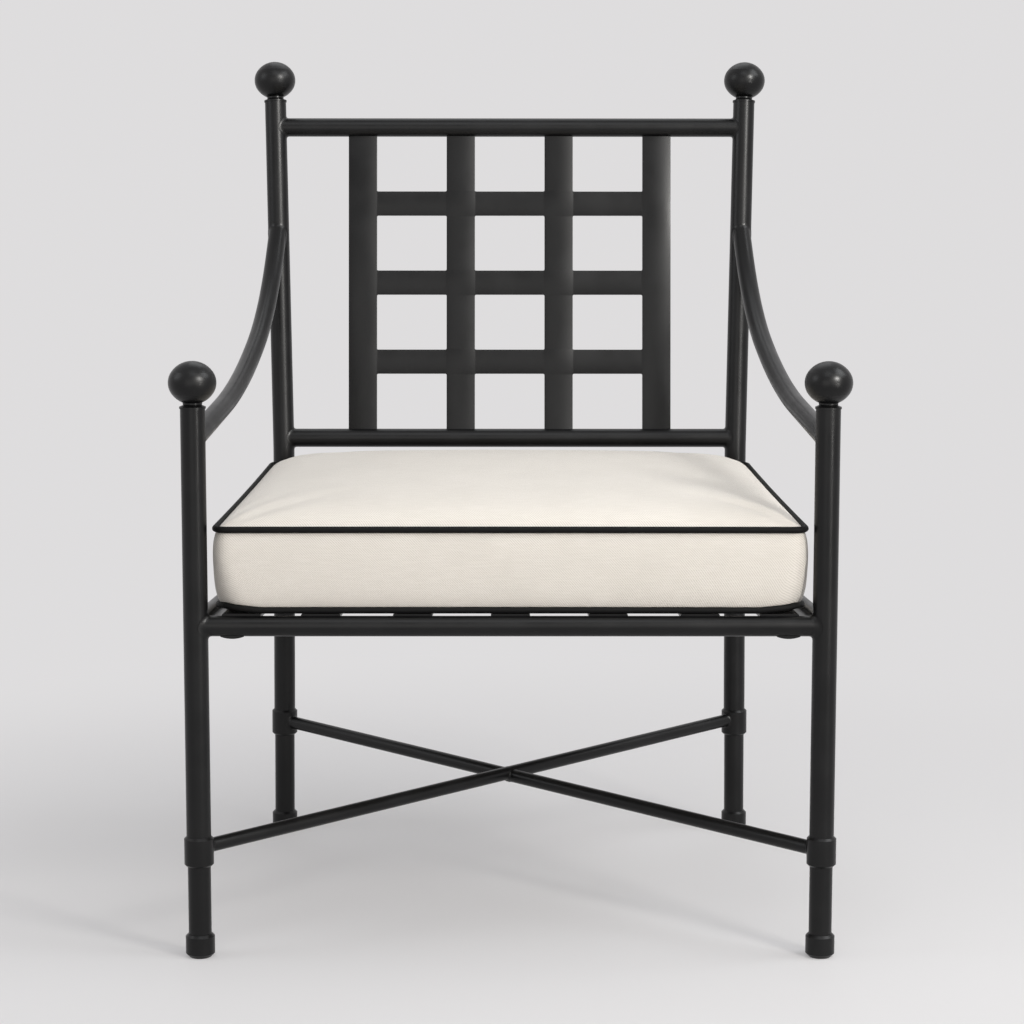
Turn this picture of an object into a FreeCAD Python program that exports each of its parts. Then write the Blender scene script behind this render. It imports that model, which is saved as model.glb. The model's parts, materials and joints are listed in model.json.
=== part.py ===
import FreeCAD, Part
import math
import os
import Sketcher

Vector = FreeCAD.Vector
Placement = FreeCAD.Placement
Rotation = FreeCAD.Rotation

os.makedirs("parts", exist_ok=True)
doc = FreeCAD.newDocument("LatticeArmchair")

# Driving sizes in millimetres and degrees. The chair faces -Y, left is -X and the floor is Z = 0.
# Depths run backwards from the axes of the front posts.
driving_sizes = [
    ("front_post_spacing", 643.0, "front posts, centre to centre"),
    ("front_ball_height", 597.0, "floor to the centre of a front finial ball"),
    ("front_collar_height", 112.0, "floor to the middle of a front collar"),
    ("rear_foot_spacing", 551.0, "rear legs at the floor, centre to centre"),
    ("rear_foot_depth", 530.0, "front posts to rear legs at the floor"),
    ("rear_collar_height", 136.0, "floor to the middle of a rear collar"),
    ("rear_seat_spacing", 543.0, "rear posts at their bend, centre to centre"),
    ("rear_seat_depth", 523.0, "front posts to rear posts at the bend"),
    ("rear_bend_height", 470.0, "floor to the bend of the rear posts"),
    ("rear_bend_radius", 150.0, "bend radius of the rear posts on their axis"),
    ("rear_ball_spacing", 565.0, "rear finial balls, centre to centre"),
    ("rear_ball_depth", 583.0, "front posts to the rear finial balls"),
    ("rear_ball_height", 910.0, "floor to the centre of a rear finial ball"),
    ("post_diameter", 25.4, "outer diameter of the posts"),
    ("leg_diameter", 23.8, "outer diameter of the legs under the collars"),
    ("seat_rail_diameter", 21.0, "outer diameter of the four seat rails"),
    ("back_rail_diameter", 22.0, "outer diameter of the two back rails"),
    ("arm_diameter", 20.0, "diameter of the arms, which are bent from solid bar"),
    ("rod_diameter", 14.8, "diameter of the solid stretcher rods"),
    ("rod_lift", 0.6, "how far above the middle of a collar a rod meets it"),
    ("through_rod_lift", 2.7, "how much higher the through rod meets its collars"),
    ("tube_wall", 1.6, "wall of the posts, legs and rails, which are tubes"),
    ("collar_diameter", 30.5, "outer diameter of a collar"),
    ("collar_length", 31.0, "length of a collar"),
    ("collar_chamfer", 2.2, "chamfer at both ends of a collar"),
    ("foot_diameter", 30.2, "outer diameter of a foot cap"),
    ("foot_height", 24.5, "height of a foot cap"),
    ("foot_lip", 2.5, "chamfer at the top of a foot cap"),
    ("foot_sole_chamfer", 4.0, "chamfer at the sole of a foot cap"),
    ("foot_floor", 4.0, "thickness of a foot cap under its leg"),
    ("ball_diameter", 49.0, "width of a finial ball"),
    ("ball_height", 44.2, "height of a finial ball, which is slightly flattened"),
    ("ball_side_radius", 19.5, "radius of the ball's side, which its flatter caps meet in a tangent"),
    ("ball_rise", 26.2, "end of the post to the centre of the ball"),
    ("rim_diameter", 27.0, "rim that caps the end of the post"),
    ("rim_height", 2.0, "height of that rim"),
    ("neck_diameter", 19.0, "neck between rim and bead"),
    ("neck_slope", 1.7, "height of the slope from rim to neck"),
    ("bead_diameter", 19.8, "bead that the ball sits on"),
    ("bead_chamfer", 0.8, "height of the slope from neck to bead"),
    ("spigot_length", 14.0, "spigot of the finial inside the post"),
    ("spigot_gap", 0.1, "radial gap between spigot and bore"),
    ("seat_rail_height", 347.7, "floor to the axes of the seat rails"),
    ("back_low_rail_height", 484.0, "floor to the axis of the lower back rail"),
    ("back_top_rail_drop", 56.0, "centre of the rear balls down to the axis of the top back rail"),
    ("bar_thickness", 5.0, "thickness of the lattice bars"),
    ("upright_width", 34.0, "width of a lattice upright"),
    ("upright_pitch", 117.7, "uprights, centre to centre"),
    ("crossbar_width", 29.0, "width of a lattice crossbar"),
    ("arm_front_height", 538.7, "floor to the arm axis at the front post"),
    ("arm_front_slope", 7.5, "rise of the arm at the front post, in degrees"),
    ("arm_front_radius", 600.0, "radius of the wide front bend"),
    ("arm_middle_slope", 21.0, "rise of the arm between its bends, in degrees"),
    ("arm_rear_radius", 380.0, "radius of the tighter rear bend"),
    ("arm_rear_slope", 47.5, "rise of the arm at the rear post, in degrees"),
    ("arm_rear_length", 42.0, "straight end of the arm, up to the axis of the rear post"),
    ("slat_thickness", 5.0, "thickness of the seat slats"),
    ("slat_width", 40.0, "width of the seat slats"),
    ("slat_chamfer", 1.0, "chamfer along the edges of a slat"),
    ("slat_proud", 2.0, "how far the slats stand above the rails that they are welded between"),
    ("inner_slat_offset", 100.0, "first slat beside the middle one, at the front"),
    ("middle_slat_offset", 194.0, "second slat beside the middle one, at the front"),
    ("outer_slat_offset", 275.0, "outermost slat, at the front"),
    ("plug_offset", 284.0, "middle of the chair to a plug under the front rail"),
    ("plug_length", 24.0, "length of a plug head along the rail"),
    ("plug_width", 10.0, "width of a plug head across the rail"),
    ("plug_height", 2.0, "height of a plug head under the rail"),
    ("plug_end_depth", 0.2, "how deep the pointed ends of a head run into the rail"),
    ("plug_stem_diameter", 6.0, "stem of a plug"),
    ("plug_stem_length", 5.0, "length of that stem above the foot of the rail"),
    ("plug_gap", 0.2, "radial gap between stem and hole"),
    ("cushion_rest_gap", 0.3, "slats to the underside of the cushion"),
    ("cushion_side_gap", 3.6, "front posts to the piping, at each side"),
    ("cushion_rear_overlap", 12.0, "rear corner of the cushion beyond the axis of a rear post"),
    ("cushion_front_overhang", 0.5, "front seam before the axes of the front posts"),
    ("cushion_rear_gap", 2.3, "rear posts to the piping behind"),
    ("cushion_seam_rise", 3.5, "underside to the lower seam"),
    ("cushion_side_height", 82.3, "lower seam to upper seam"),
    ("cushion_crown", 36.0, "upper seam to the top of the crown"),
    ("cushion_side_bow", 3.0, "how far each side is drawn in between its corners"),
    ("cushion_side_swell", 2.5, "how far the boxed sides swell at half height"),
    ("cushion_corner_radius", 18.0, "corners of the cushion in plan"),
    ("cover_thickness", 1.5, "thickness of the sewn cover"),
    ("foam_gap", 0.4, "gap between foam and cover"),
    ("piping_diameter", 6.8, "piping cords"),
    ("piping_gap", 0.3, "gap between piping and cover"),
    ("seam_ledge", 1.0, "how far the cover is drawn in beside a seam"),
    ("seam_play", 0.2, "height that a seam leaves free above and below its piping"),
    ("under_inset", 14.0, "rounding of the underside towards the lower seam"),
]

sizes = doc.addObject("Spreadsheet::Sheet", "Sizes")
for row, (alias, value, meaning) in enumerate(driving_sizes, start=1):
    sizes.set(f"A{row}", meaning)
    sizes.set(f"B{row}", str(value))
    sizes.setAlias(f"B{row}", alias)
doc.recompute()


def size(alias):
    return float(sizes.get(alias))


# Axes of posts and legs

left_and_right = (("left", -1), ("right", 1))
up = Vector(0, 0, 1)
front_y = -size("rear_ball_depth") / 2


def place(side, spacing, depth, height):
    return Vector(side * spacing / 2, front_y + depth, height)


def front_axis(side, height):
    return place(side, size("front_post_spacing"), 0, height)


def rear_foot(side):
    return place(side, size("rear_foot_spacing"), size("rear_foot_depth"), 0)


def rear_bend(side):
    return place(side, size("rear_seat_spacing"), size("rear_seat_depth"), size("rear_bend_height"))


def rear_ball(side):
    return place(side, size("rear_ball_spacing"), size("rear_ball_depth"), size("rear_ball_height"))


def at_height(low, high, height):
    return low + (high - low) * ((height - low.z) / (high.z - low.z))


def rear_axis(side, height):
    if height < size("rear_bend_height"):
        return at_height(rear_foot(side), rear_bend(side), height)
    return at_height(rear_bend(side), rear_ball(side), height)


def toward(start, end):
    return (end - start).normalize()


# Shared ways of making a piece

def rod(name, start, end, radius, length=None):
    """A plain round bar between two points, whose radius is an expression."""
    bar = doc.addObject("Part::Cylinder", name)
    bar.setExpression("Radius", radius)
    bar.Height = (end - start).Length
    if length:
        bar.setExpression("Height", length)
    bar.Placement = Placement(start, Rotation(up, end - start))
    return bar


def joined(name, members):
    fused = doc.addObject("Part::MultiFuse", name)
    fused.Shapes = members
    return fused


def grouped(name, members):
    together = doc.addObject("Part::Compound", name)
    together.Links = members
    return together


def cut(name, base, tools):
    result = doc.addObject("Part::Cut", name)
    result.Base = base
    result.Tool = tools[0] if len(tools) == 1 else joined(f"{name}_cutters", tools)
    return result


def origin_plane(body, role):
    return next(item for item in body.Origin.OriginFeatures if item.Role == role)


def sketch_on(body, name, role):
    sketch = body.newObject("Sketcher::SketchObject", name)
    sketch.AttachmentSupport = [(origin_plane(body, role), "")]
    sketch.MapMode = "FlatFace"
    return sketch


def bind(sketch, constraint, expression):
    index = sketch.addConstraint(constraint)
    sketch.setExpression(f"Constraints[{index}]", expression)


def outline(sketch, corners):
    """Closed outline through corners whose places are pairs of expressions.

    A third expression on a corner is a radius: the side that leaves it is then an arc, bulging to the
    right of its way.
    """
    points = [Vector(*(float(sketch.evalExpression(text)) for text in corner[:2]), 0) for corner in corners]
    for corner, here, there in zip(corners, points, points[1:] + points[:1]):
        if len(corner) == 2:
            sketch.addGeometry(Part.LineSegment(here, there), False)
            continue
        radius = float(sketch.evalExpression(corner[2]))
        chord = there - here
        inward = Vector(-chord.y, chord.x, 0).normalize()
        centre = (here + there) / 2 + inward * math.sqrt(radius ** 2 - chord.Length ** 2 / 4)
        angles = [math.atan2(end.y - centre.y, end.x - centre.x) for end in (here, there)]
        sketch.addGeometry(Part.ArcOfCircle(Part.Circle(centre, up, radius), *angles), False)
    for index, (point, corner) in enumerate(zip(points, corners)):
        following = (index + 1) % len(corners)
        sketch.addConstraint(Sketcher.Constraint("Coincident", index, 2, following, 1))
        bind(sketch, Sketcher.Constraint("DistanceX", -1, 1, index, 1, point.x), corner[0])
        bind(sketch, Sketcher.Constraint("DistanceY", -1, 1, index, 1, point.y), corner[1])
        if len(corner) == 3:
            radius = float(sketch.evalExpression(corner[2]))
            bind(sketch, Sketcher.Constraint("Radius", index, radius), corner[2])


def turned(name, corners, placement):
    """A solid of revolution about its own Z axis."""
    body = doc.addObject("PartDesign::Body", name)
    profile = sketch_on(body, f"{name}_profile", "XZ_Plane")
    outline(profile, corners)
    turning = body.newObject("PartDesign::Revolution", f"{name}_turning")
    turning.Profile = profile
    turning.ReferenceAxis = (profile, ["V_Axis"])
    turning.Angle = 360
    body.Placement = placement
    return body


def padded(name, corners, thickness, placement):
    """A flat outline in the body's own XZ plane, thickened to both sides."""
    body = doc.addObject("PartDesign::Body", name)
    face = sketch_on(body, f"{name}_face", "XZ_Plane")
    outline(face, corners)
    plate = body.newObject("PartDesign::Pad", f"{name}_plate")
    plate.Profile = face
    plate.setExpression("Length", thickness)
    plate.SideType = "Symmetric"
    body.Placement = placement
    return body


def bent_rod(name, radius, steps, placement):
    """A round bar along straights and tangent bends. It starts up its own Z and bends towards its X."""
    body = doc.addObject("PartDesign::Body", name)
    spine = sketch_on(body, f"{name}_spine", "XZ_Plane")
    here = Vector(0, 0, 0)
    heading = 0.0
    last_end = None
    for index, (kind, *values) in enumerate(steps):
        ahead = Vector(math.sin(heading), math.cos(heading), 0)
        if kind == "straight":
            there = here + ahead * values[0]
            spine.addGeometry(Part.LineSegment(here, there), False)
            spine.addConstraint(Sketcher.Constraint("Distance", index, values[0]))
            first, last = 1, 2
        else:
            bend_radius = size(values[0])
            centre = here + Vector(ahead.y, -ahead.x, 0) * bend_radius
            turn = math.radians(values[1])
            circle = Part.Circle(centre, up, bend_radius)
            from_angle = math.pi - heading - turn
            to_angle = math.pi - heading
            spine.addGeometry(Part.ArcOfCircle(circle, from_angle, to_angle), False)
            bind(spine, Sketcher.Constraint("Radius", index, bend_radius), f"Sizes.{values[0]}")
            first, last = 2, 1
            heading += turn
            there = centre + Vector(-math.cos(heading), math.sin(heading), 0) * bend_radius
        if last_end is None:
            spine.addConstraint(Sketcher.Constraint("Coincident", index, first, -1, 1))
            spine.addConstraint(Sketcher.Constraint("Vertical", index))
        else:
            spine.addConstraint(Sketcher.Constraint("Tangent", index - 1, last_end, index, first))
        last_end = last
        here = there
    section = sketch_on(body, f"{name}_section", "XY_Plane")
    section.addGeometry(Part.Circle(Vector(0, 0, 0), up, float(section.evalExpression(radius))), False)
    section.addConstraint(Sketcher.Constraint("Coincident", 0, 3, -1, 1))
    bind(section, Sketcher.Constraint("Radius", 0, float(section.evalExpression(radius))), radius)
    sweep = body.newObject("PartDesign::AdditivePipe", f"{name}_sweep")
    sweep.Profile = section
    sweep.Spine = (spine, [f"Edge{number}" for number in range(1, len(steps) + 1)])
    body.Placement = placement
    return body


pieces = []


def keep(piece, label):
    piece.Label = label
    pieces.append(piece)
    return piece


# Posts and legs. The solid outside of each tube is kept, to shape the ends of what meets it.

outsides = {}


def straight_tube(name, start, end, radius, length=None):
    outsides[name] = rod(f"{name}_outside", start, end, radius, length)
    bore = rod(f"{name}_bore", start, end, f"{radius} - Sizes.tube_wall", length)
    return cut(f"{name}_tube", outsides[name], [bore])


def front_post(hand, side):
    start = front_axis(side, size("front_collar_height"))
    end = front_axis(side, size("front_ball_height") - size("ball_rise"))
    length = "Sizes.front_ball_height - Sizes.ball_rise - Sizes.front_collar_height"
    name = f"front_post_{hand}"
    keep(straight_tube(name, start, end, "Sizes.post_diameter / 2", length), name)


def rear_post(hand, side):
    """The lower and upper runs of a rear post lie in one slightly turned plane, which holds its bend."""
    foot, bend, ball = rear_foot(side), rear_bend(side), rear_ball(side)
    start = rear_axis(side, size("rear_collar_height"))
    rising, reclining = toward(foot, bend), toward(bend, ball)
    turn = rising.getAngle(reclining)
    tangent = size("rear_bend_radius") * math.tan(turn / 2)
    backward = (reclining - rising * reclining.dot(rising)).normalize()
    steps = [
        ("straight", (bend - start).Length - tangent),
        ("bend", "rear_bend_radius", math.degrees(turn)),
        ("straight", (ball - bend).Length - tangent - size("ball_rise")),
    ]
    frame = Placement(start, Rotation(backward, rising.cross(backward), rising, "ZXY"))
    name = f"rear_post_{hand}"
    outsides[name] = bent_rod(f"{name}_outside", "Sizes.post_diameter / 2", steps, frame)
    bore = bent_rod(f"{name}_bore", "Sizes.post_diameter / 2 - Sizes.tube_wall", steps, frame)
    keep(cut(f"{name}_tube", outsides[name], [bore]), name)


def leg(hand, side, row):
    floor_point, collar_point = front_axis(side, 0), front_axis(side, size("front_collar_height"))
    if row == "rear":
        floor_point, collar_point = rear_foot(side), rear_axis(side, size("rear_collar_height"))
    start = floor_point + toward(floor_point, collar_point) * size("foot_floor")
    return straight_tube(f"{row}_leg_{hand}", start, collar_point, "Sizes.leg_diameter / 2")


for hand, side in left_and_right:
    front_post(hand, side)
    rear_post(hand, side)


# Collars, foot caps and finials

collar_corners = [
    ("Sizes.post_diameter / 2", "Sizes.collar_length / 2"),
    ("Sizes.collar_diameter / 2 - Sizes.collar_chamfer", "Sizes.collar_length / 2"),
    ("Sizes.collar_diameter / 2", "Sizes.collar_length / 2 - Sizes.collar_chamfer"),
    ("Sizes.collar_diameter / 2", "Sizes.collar_chamfer - Sizes.collar_length / 2"),
    ("Sizes.collar_diameter / 2 - Sizes.collar_chamfer", "-Sizes.collar_length / 2"),
    ("Sizes.leg_diameter / 2", "-Sizes.collar_length / 2"),
    ("Sizes.leg_diameter / 2", "0"),
    ("Sizes.post_diameter / 2", "0"),
]

foot_corners = [
    ("0", "0"),
    ("Sizes.foot_diameter / 2 - Sizes.foot_sole_chamfer", "0"),
    ("Sizes.foot_diameter / 2", "Sizes.foot_sole_chamfer"),
    ("Sizes.foot_diameter / 2", "Sizes.foot_height - Sizes.foot_lip"),
    ("Sizes.foot_diameter / 2 - Sizes.foot_lip", "Sizes.foot_height"),
    ("0", "Sizes.foot_height"),
]

# A ball's profile is a side arc between two flatter caps, which meet it in a tangent.
side_radius = size("ball_side_radius")
side_offset = size("ball_diameter") / 2 - side_radius
half_ball = size("ball_height") / 2
cap_radius = (side_offset ** 2 + half_ball ** 2 - side_radius ** 2) / (2 * (half_ball - side_radius))
side_share = side_radius / (cap_radius - side_radius)
turn_radius = str(side_offset * (1 + side_share))
turn_height = (cap_radius - half_ball) * side_share
cap_depth = cap_radius - half_ball - math.sqrt(cap_radius ** 2 - size("bead_diameter") ** 2 / 4)

spigot_radius = "Sizes.post_diameter / 2 - Sizes.tube_wall - Sizes.spigot_gap"
bead_foot = "Sizes.rim_height + Sizes.neck_slope"
finial_corners = [
    ("0", "-Sizes.spigot_length"),
    (spigot_radius, "-Sizes.spigot_length"),
    (spigot_radius, "0"),
    ("Sizes.rim_diameter / 2", "0"),
    ("Sizes.rim_diameter / 2", "Sizes.rim_height"),
    ("Sizes.neck_diameter / 2", bead_foot),
    ("Sizes.bead_diameter / 2", f"{bead_foot} + Sizes.bead_chamfer"),
    ("Sizes.bead_diameter / 2", f"Sizes.ball_rise + {cap_depth}", str(cap_radius)),
    (turn_radius, f"Sizes.ball_rise - {turn_height}", "Sizes.ball_side_radius"),
    (turn_radius, f"Sizes.ball_rise + {turn_height}", str(cap_radius)),
    ("0", "Sizes.ball_rise + Sizes.ball_height / 2"),
]


def collar(hand, side, row):
    centre = front_axis(side, size("front_collar_height"))
    low = front_axis(side, 0)
    if row == "rear":
        centre = rear_axis(side, size("rear_collar_height"))
        low = rear_foot(side)
    name = f"{row}_collar_{hand}"
    axis = toward(low, centre)
    half = axis * (size("collar_length") / 2)
    outsides[name] = rod(f"{name}_outside", centre - half, centre + half, "Sizes.collar_diameter / 2")
    return turned(name, collar_corners, Placement(centre, Rotation(up, axis)))


def foot_cap(hand, side, row):
    """Stands square on the floor, bored along its leg."""
    floor_point = front_axis(side, 0) if row == "front" else rear_foot(side)
    name = f"{row}_foot_cap_{hand}"
    blank = turned(f"{name}_blank", foot_corners, Placement(floor_point, Rotation()))
    return cut(name, blank, [outsides[f"{row}_leg_{hand}"]])


def finial(hand, side, row):
    """Spigot, rim, neck, bead and ball, turned in one piece."""
    ball_centre = front_axis(side, size("front_ball_height"))
    axis = up
    if row == "rear":
        ball_centre = rear_ball(side)
        axis = toward(rear_bend(side), ball_centre)
    post_end = ball_centre - axis * size("ball_rise")
    return turned(f"{row}_finial_{hand}", finial_corners, Placement(post_end, Rotation(up, axis)))


for row in ("front", "rear"):
    for label, make in (("legs", leg), ("collars", collar), ("foot_caps", foot_cap), ("finials", finial)):
        pair = [make(hand, side, row) for hand, side in left_and_right]
        keep(grouped(f"{row}_{label}", pair), f"{row}_{label}")


# Rails: round tubes, their ends shaped to the posts that they are welded to

def rail(name, start, end, radius, neighbours):
    tube = straight_tube(name, start, end, radius)
    return cut(f"{name}_coped", tube, [outsides[neighbour] for neighbour in neighbours])


def cross_rail(name, row, height, radius):
    axis = front_axis if row == "front" else rear_axis
    neighbours = [f"{row}_post_{hand}" for hand, side in left_and_right]
    return rail(name, axis(-1, height), axis(1, height), radius, neighbours)


rail_height = size("seat_rail_height")
seat_rail_radius = "Sizes.seat_rail_diameter / 2"
back_rail_radius = "Sizes.back_rail_diameter / 2"

front_rail = cross_rail("seat_front_rail", "front", rail_height, seat_rail_radius)
keep(cross_rail("seat_rear_rail", "rear", rail_height, seat_rail_radius), "seat_rear_rail")
for hand, side in left_and_right:
    name = f"seat_side_rail_{hand}"
    neighbours = [f"front_post_{hand}", f"rear_post_{hand}", "seat_front_rail", "seat_rear_rail"]
    ends = front_axis(side, rail_height), rear_axis(side, rail_height)
    keep(rail(name, *ends, seat_rail_radius, neighbours), name)

back_rail_heights = {
    "back_low_rail": size("back_low_rail_height"),
    "back_top_rail": size("rear_ball_height") - size("back_top_rail_drop"),
}
for name, height in back_rail_heights.items():
    keep(cross_rail(name, "rear", height, back_rail_radius), name)


# Two lens-shaped plugs close the vent holes in the underside of the front rail

lens_sagitta = size("plug_height") + size("plug_end_depth")
lens_radius = (size("plug_length") ** 2 / 4 + lens_sagitta ** 2) / (2 * lens_sagitta)
lens_corners = [
    ("-Sizes.plug_length / 2", "Sizes.plug_end_depth", str(lens_radius)),
    ("Sizes.plug_length / 2", "Sizes.plug_end_depth"),
    ("Sizes.plug_length / 2", "Sizes.plug_width / 2"),
    ("-Sizes.plug_length / 2", "Sizes.plug_width / 2"),
]


def rail_plug(hand, side):
    rail_foot = Vector(side * size("plug_offset"), front_y, rail_height - size("seat_rail_diameter") / 2)
    stem_top = rail_foot + up * size("plug_stem_length")
    lens = padded(f"plug_lens_{hand}", lens_corners, "Sizes.plug_width", Placement(rail_foot, Rotation()))
    head = cut(f"plug_head_{hand}", lens, [outsides["seat_front_rail"]])
    stem_radius = "Sizes.plug_stem_diameter / 2"
    half_head = up * (size("plug_height") / 2)
    stem = rod(f"plug_stem_{hand}", rail_foot - half_head, stem_top, stem_radius)
    hole = rod(f"plug_hole_{hand}", rail_foot - half_head, stem_top, f"{stem_radius} + Sizes.plug_gap")
    return joined(f"rail_plug_{hand}", [head, stem]), hole


plugs, holes = zip(*(rail_plug(hand, side) for hand, side in left_and_right))
keep(grouped("front_rail_plugs", list(plugs)), "front_rail_plugs")
keep(cut("seat_front_rail_drilled", front_rail, list(holes)), "seat_front_rail")


# Arms: each falls from the rear post in two bends and runs out almost level to the front post

def arm(hand, side):
    slopes = [math.radians(size(f"arm_{part}_slope")) for part in ("front", "middle", "rear")]
    wide, tight, end = (size(f"arm_{part}") for part in ("front_radius", "rear_radius", "rear_length"))
    sines = [math.sin(slope) for slope in slopes]
    cosines = [math.cos(slope) for slope in slopes]
    bends_run = wide * (sines[1] - sines[0]) + tight * (sines[2] - sines[1]) + end * cosines[2]
    bends_rise = wide * (cosines[0] - cosines[1]) + tight * (cosines[1] - cosines[2]) + end * sines[2]
    start = front_axis(side, size("arm_front_height"))
    # The straight front run is as long as brings the other end onto the axis of the rear post.
    front_run = 0.0
    for _ in range(30):
        end_height = start.z + front_run * sines[0] + bends_rise
        span = rear_axis(side, end_height) - start
        span.z = 0
        front_run = (span.Length - bends_run) / cosines[0]
    level = span.normalize()
    ahead = level * cosines[0] + up * sines[0]
    above = up * cosines[0] - level * sines[0]
    steps = [
        ("straight", front_run),
        ("bend", "arm_front_radius", math.degrees(slopes[1] - slopes[0])),
        ("bend", "arm_rear_radius", math.degrees(slopes[2] - slopes[1])),
        ("straight", end),
    ]
    frame = Placement(start, Rotation(above, ahead.cross(above), ahead, "ZXY"))
    name = f"arm_{hand}"
    bar = bent_rod(f"{name}_bar", "Sizes.arm_diameter / 2", steps, frame)
    keep(cut(f"{name}_coped", bar, [outsides[f"front_post_{hand}"], outsides[f"rear_post_{hand}"]]), name)


for hand, side in left_and_right:
    arm(hand, side)


# Stretcher: one rod runs through, and two half rods are welded to it at the crossing

stretcher_ends = {}
for hand, side in left_and_right:
    stretcher_ends[f"front_{hand}"] = front_axis(side, size("front_collar_height")) + up * size("rod_lift")
    stretcher_ends[f"rear_{hand}"] = rear_axis(side, size("rear_collar_height")) + up * size("rod_lift")


def stretcher_rod(name, start, end, neighbours):
    outsides[name] = rod(f"{name}_bar", start, end, "Sizes.rod_diameter / 2")
    keep(cut(f"{name}_coped", outsides[name], [outsides[neighbour] for neighbour in neighbours]), name)


through = stretcher_ends["front_left"], stretcher_ends["rear_right"]
share = through[0].x / (through[0].x - through[1].x)
crossing = through[0] + (through[1] - through[0]) * share
lifted = [end + up * size("through_rod_lift") for end in through]
stretcher_rod("stretcher_long_rod", *lifted, ["front_collar_left", "rear_collar_right"])
for row, hand in (("front", "right"), ("rear", "left")):
    start = stretcher_ends[f"{row}_{hand}"]
    neighbours = [f"{row}_collar_{hand}", "stretcher_long_rod"]
    stretcher_rod(f"stretcher_half_rod_{row}", start, crossing, neighbours)


# Lattice back: flat bars that halve into each other, so that all of them lie flush.
# Uprights lose their rear half at each crossing and crossbars their front half.

crossbar_count = 3
upright_count = 4
low_rail, top_rail = ((rear_axis(-1, height) + rear_axis(1, height)) / 2 for height in back_rail_heights.values())
rise = toward(low_rail, top_rail)
across = Vector(1, 0, 0)
back_turn = Rotation(across, rise.cross(across), rise, "ZXY")
rail_distance = (top_rail - low_rail).Length
crossbar_pitch = (rail_distance - size("back_rail_diameter") + size("crossbar_width")) / (crossbar_count + 1)
first_crossbar = size("back_rail_diameter") / 2 + crossbar_pitch - size("crossbar_width")
outer_upright = (upright_count - 1) / 2


def in_back(x, height):
    return Placement(low_rail + across * x + rise * height, back_turn)


def rectangle(left, right, bottom, top):
    return [(left, bottom), (right, bottom), (right, top), (left, top)]


def flat_bar(name, edges, placement):
    return padded(name, rectangle(*edges), "Sizes.bar_thickness", placement)


def halve(body, edges, toward_front, axis, count, pitch):
    """Cuts half the thickness away at every crossing along the bar."""
    doc.recompute()
    whole = body.Shape.Volume
    notch = sketch_on(body, f"{body.Name}_notch", "XZ_Plane")
    outline(notch, rectangle(*edges))
    lap = body.newObject("PartDesign::Pocket", f"{body.Name}_lap")
    lap.Profile = notch
    lap.setExpression("Length", "Sizes.bar_thickness / 2")
    lap.Reversed = toward_front
    laps = body.newObject("PartDesign::LinearPattern", f"{body.Name}_laps")
    laps.Originals = [lap]
    laps.Direction = (notch, [axis])
    laps.Mode = "Spacing"
    laps.Occurrences = count
    laps.Offset = pitch
    body.Tip = laps
    doc.recompute()
    notch_volume = size("upright_width") * size("crossbar_width") * size("bar_thickness") / 2
    if abs(whole - body.Shape.Volume - count * notch_volume) > 0.01 * notch_volume:
        raise RuntimeError(f"{body.Name}: the laps don't cut half of the bar")


for number in range(upright_count):
    x = (number - outer_upright) * size("upright_pitch")
    name = f"back_upright_{number + 1}"
    half = "Sizes.upright_width / 2"
    bar = flat_bar(f"{name}_bar", (f"-{half}", half, "0", str(rail_distance)), in_back(x, 0))
    bottom = first_crossbar
    notch_edges = (f"-{half}", half, str(bottom), f"{bottom} + Sizes.crossbar_width")
    halve(bar, notch_edges, False, "V_Axis", crossbar_count, crossbar_pitch)
    keep(cut(name, bar, [outsides["back_low_rail"], outsides["back_top_rail"]]), name)

for number in range(crossbar_count):
    middle = first_crossbar + size("crossbar_width") / 2 + number * crossbar_pitch
    name = f"back_crossbar_{number + 1}"
    half = "Sizes.crossbar_width / 2"
    reach = f"({outer_upright} * Sizes.upright_pitch + Sizes.upright_width / 2)"
    bar = flat_bar(name, (f"-{reach}", reach, f"-{half}", half), in_back(0, middle))
    notch_edges = (f"-{reach}", f"Sizes.upright_width - {reach}", f"-{half}", half)
    halve(bar, notch_edges, True, "H_Axis", upright_count, size("upright_pitch"))
    keep(bar, name)


# Seat slats: flat bars welded between the front and rear rails, fanned to the narrower rear rail.
# Their ends are shaped to the rails, whose tops they stand above.

slat_foot = rail_height + size("seat_rail_diameter") / 2 + size("slat_proud") - size("slat_thickness")
slat_run = rear_axis(1, rail_height).y - front_y
fan = rear_axis(1, rail_height).x / front_axis(1, rail_height).x


def slat(number, side, offset):
    middle = f"{side} * Sizes.{offset}" if offset else "0"
    rear_middle = f"{fan} * {middle}"
    half = "Sizes.slat_width / 2"
    name = f"seat_slat_{number}"
    body = doc.addObject("PartDesign::Body", f"{name}_bar")
    plan = sketch_on(body, f"{name}_plan", "XY_Plane")
    outline(plan, [
        (f"{middle} - {half}", "0"),
        (f"{middle} + {half}", "0"),
        (f"{rear_middle} + {half}", str(slat_run)),
        (f"{rear_middle} - {half}", str(slat_run)),
    ])
    plate = body.newObject("PartDesign::Pad", f"{name}_plate")
    plate.Profile = plan
    plate.setExpression("Length", "Sizes.slat_thickness")
    doc.recompute()
    long_edges = [f"Edge{count}" for count, edge in enumerate(plate.Shape.Edges, 1) if edge.Length >= slat_run]
    edging = body.newObject("PartDesign::Chamfer", f"{name}_edging")
    edging.Base = (plate, long_edges)
    edging.setExpression("Size", "Sizes.slat_chamfer")
    body.Placement = Placement(Vector(0, front_y, slat_foot), Rotation())
    keep(cut(f"{name}_coped", body, [outsides["seat_front_rail"], outsides["seat_rear_rail"]]), name)


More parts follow.
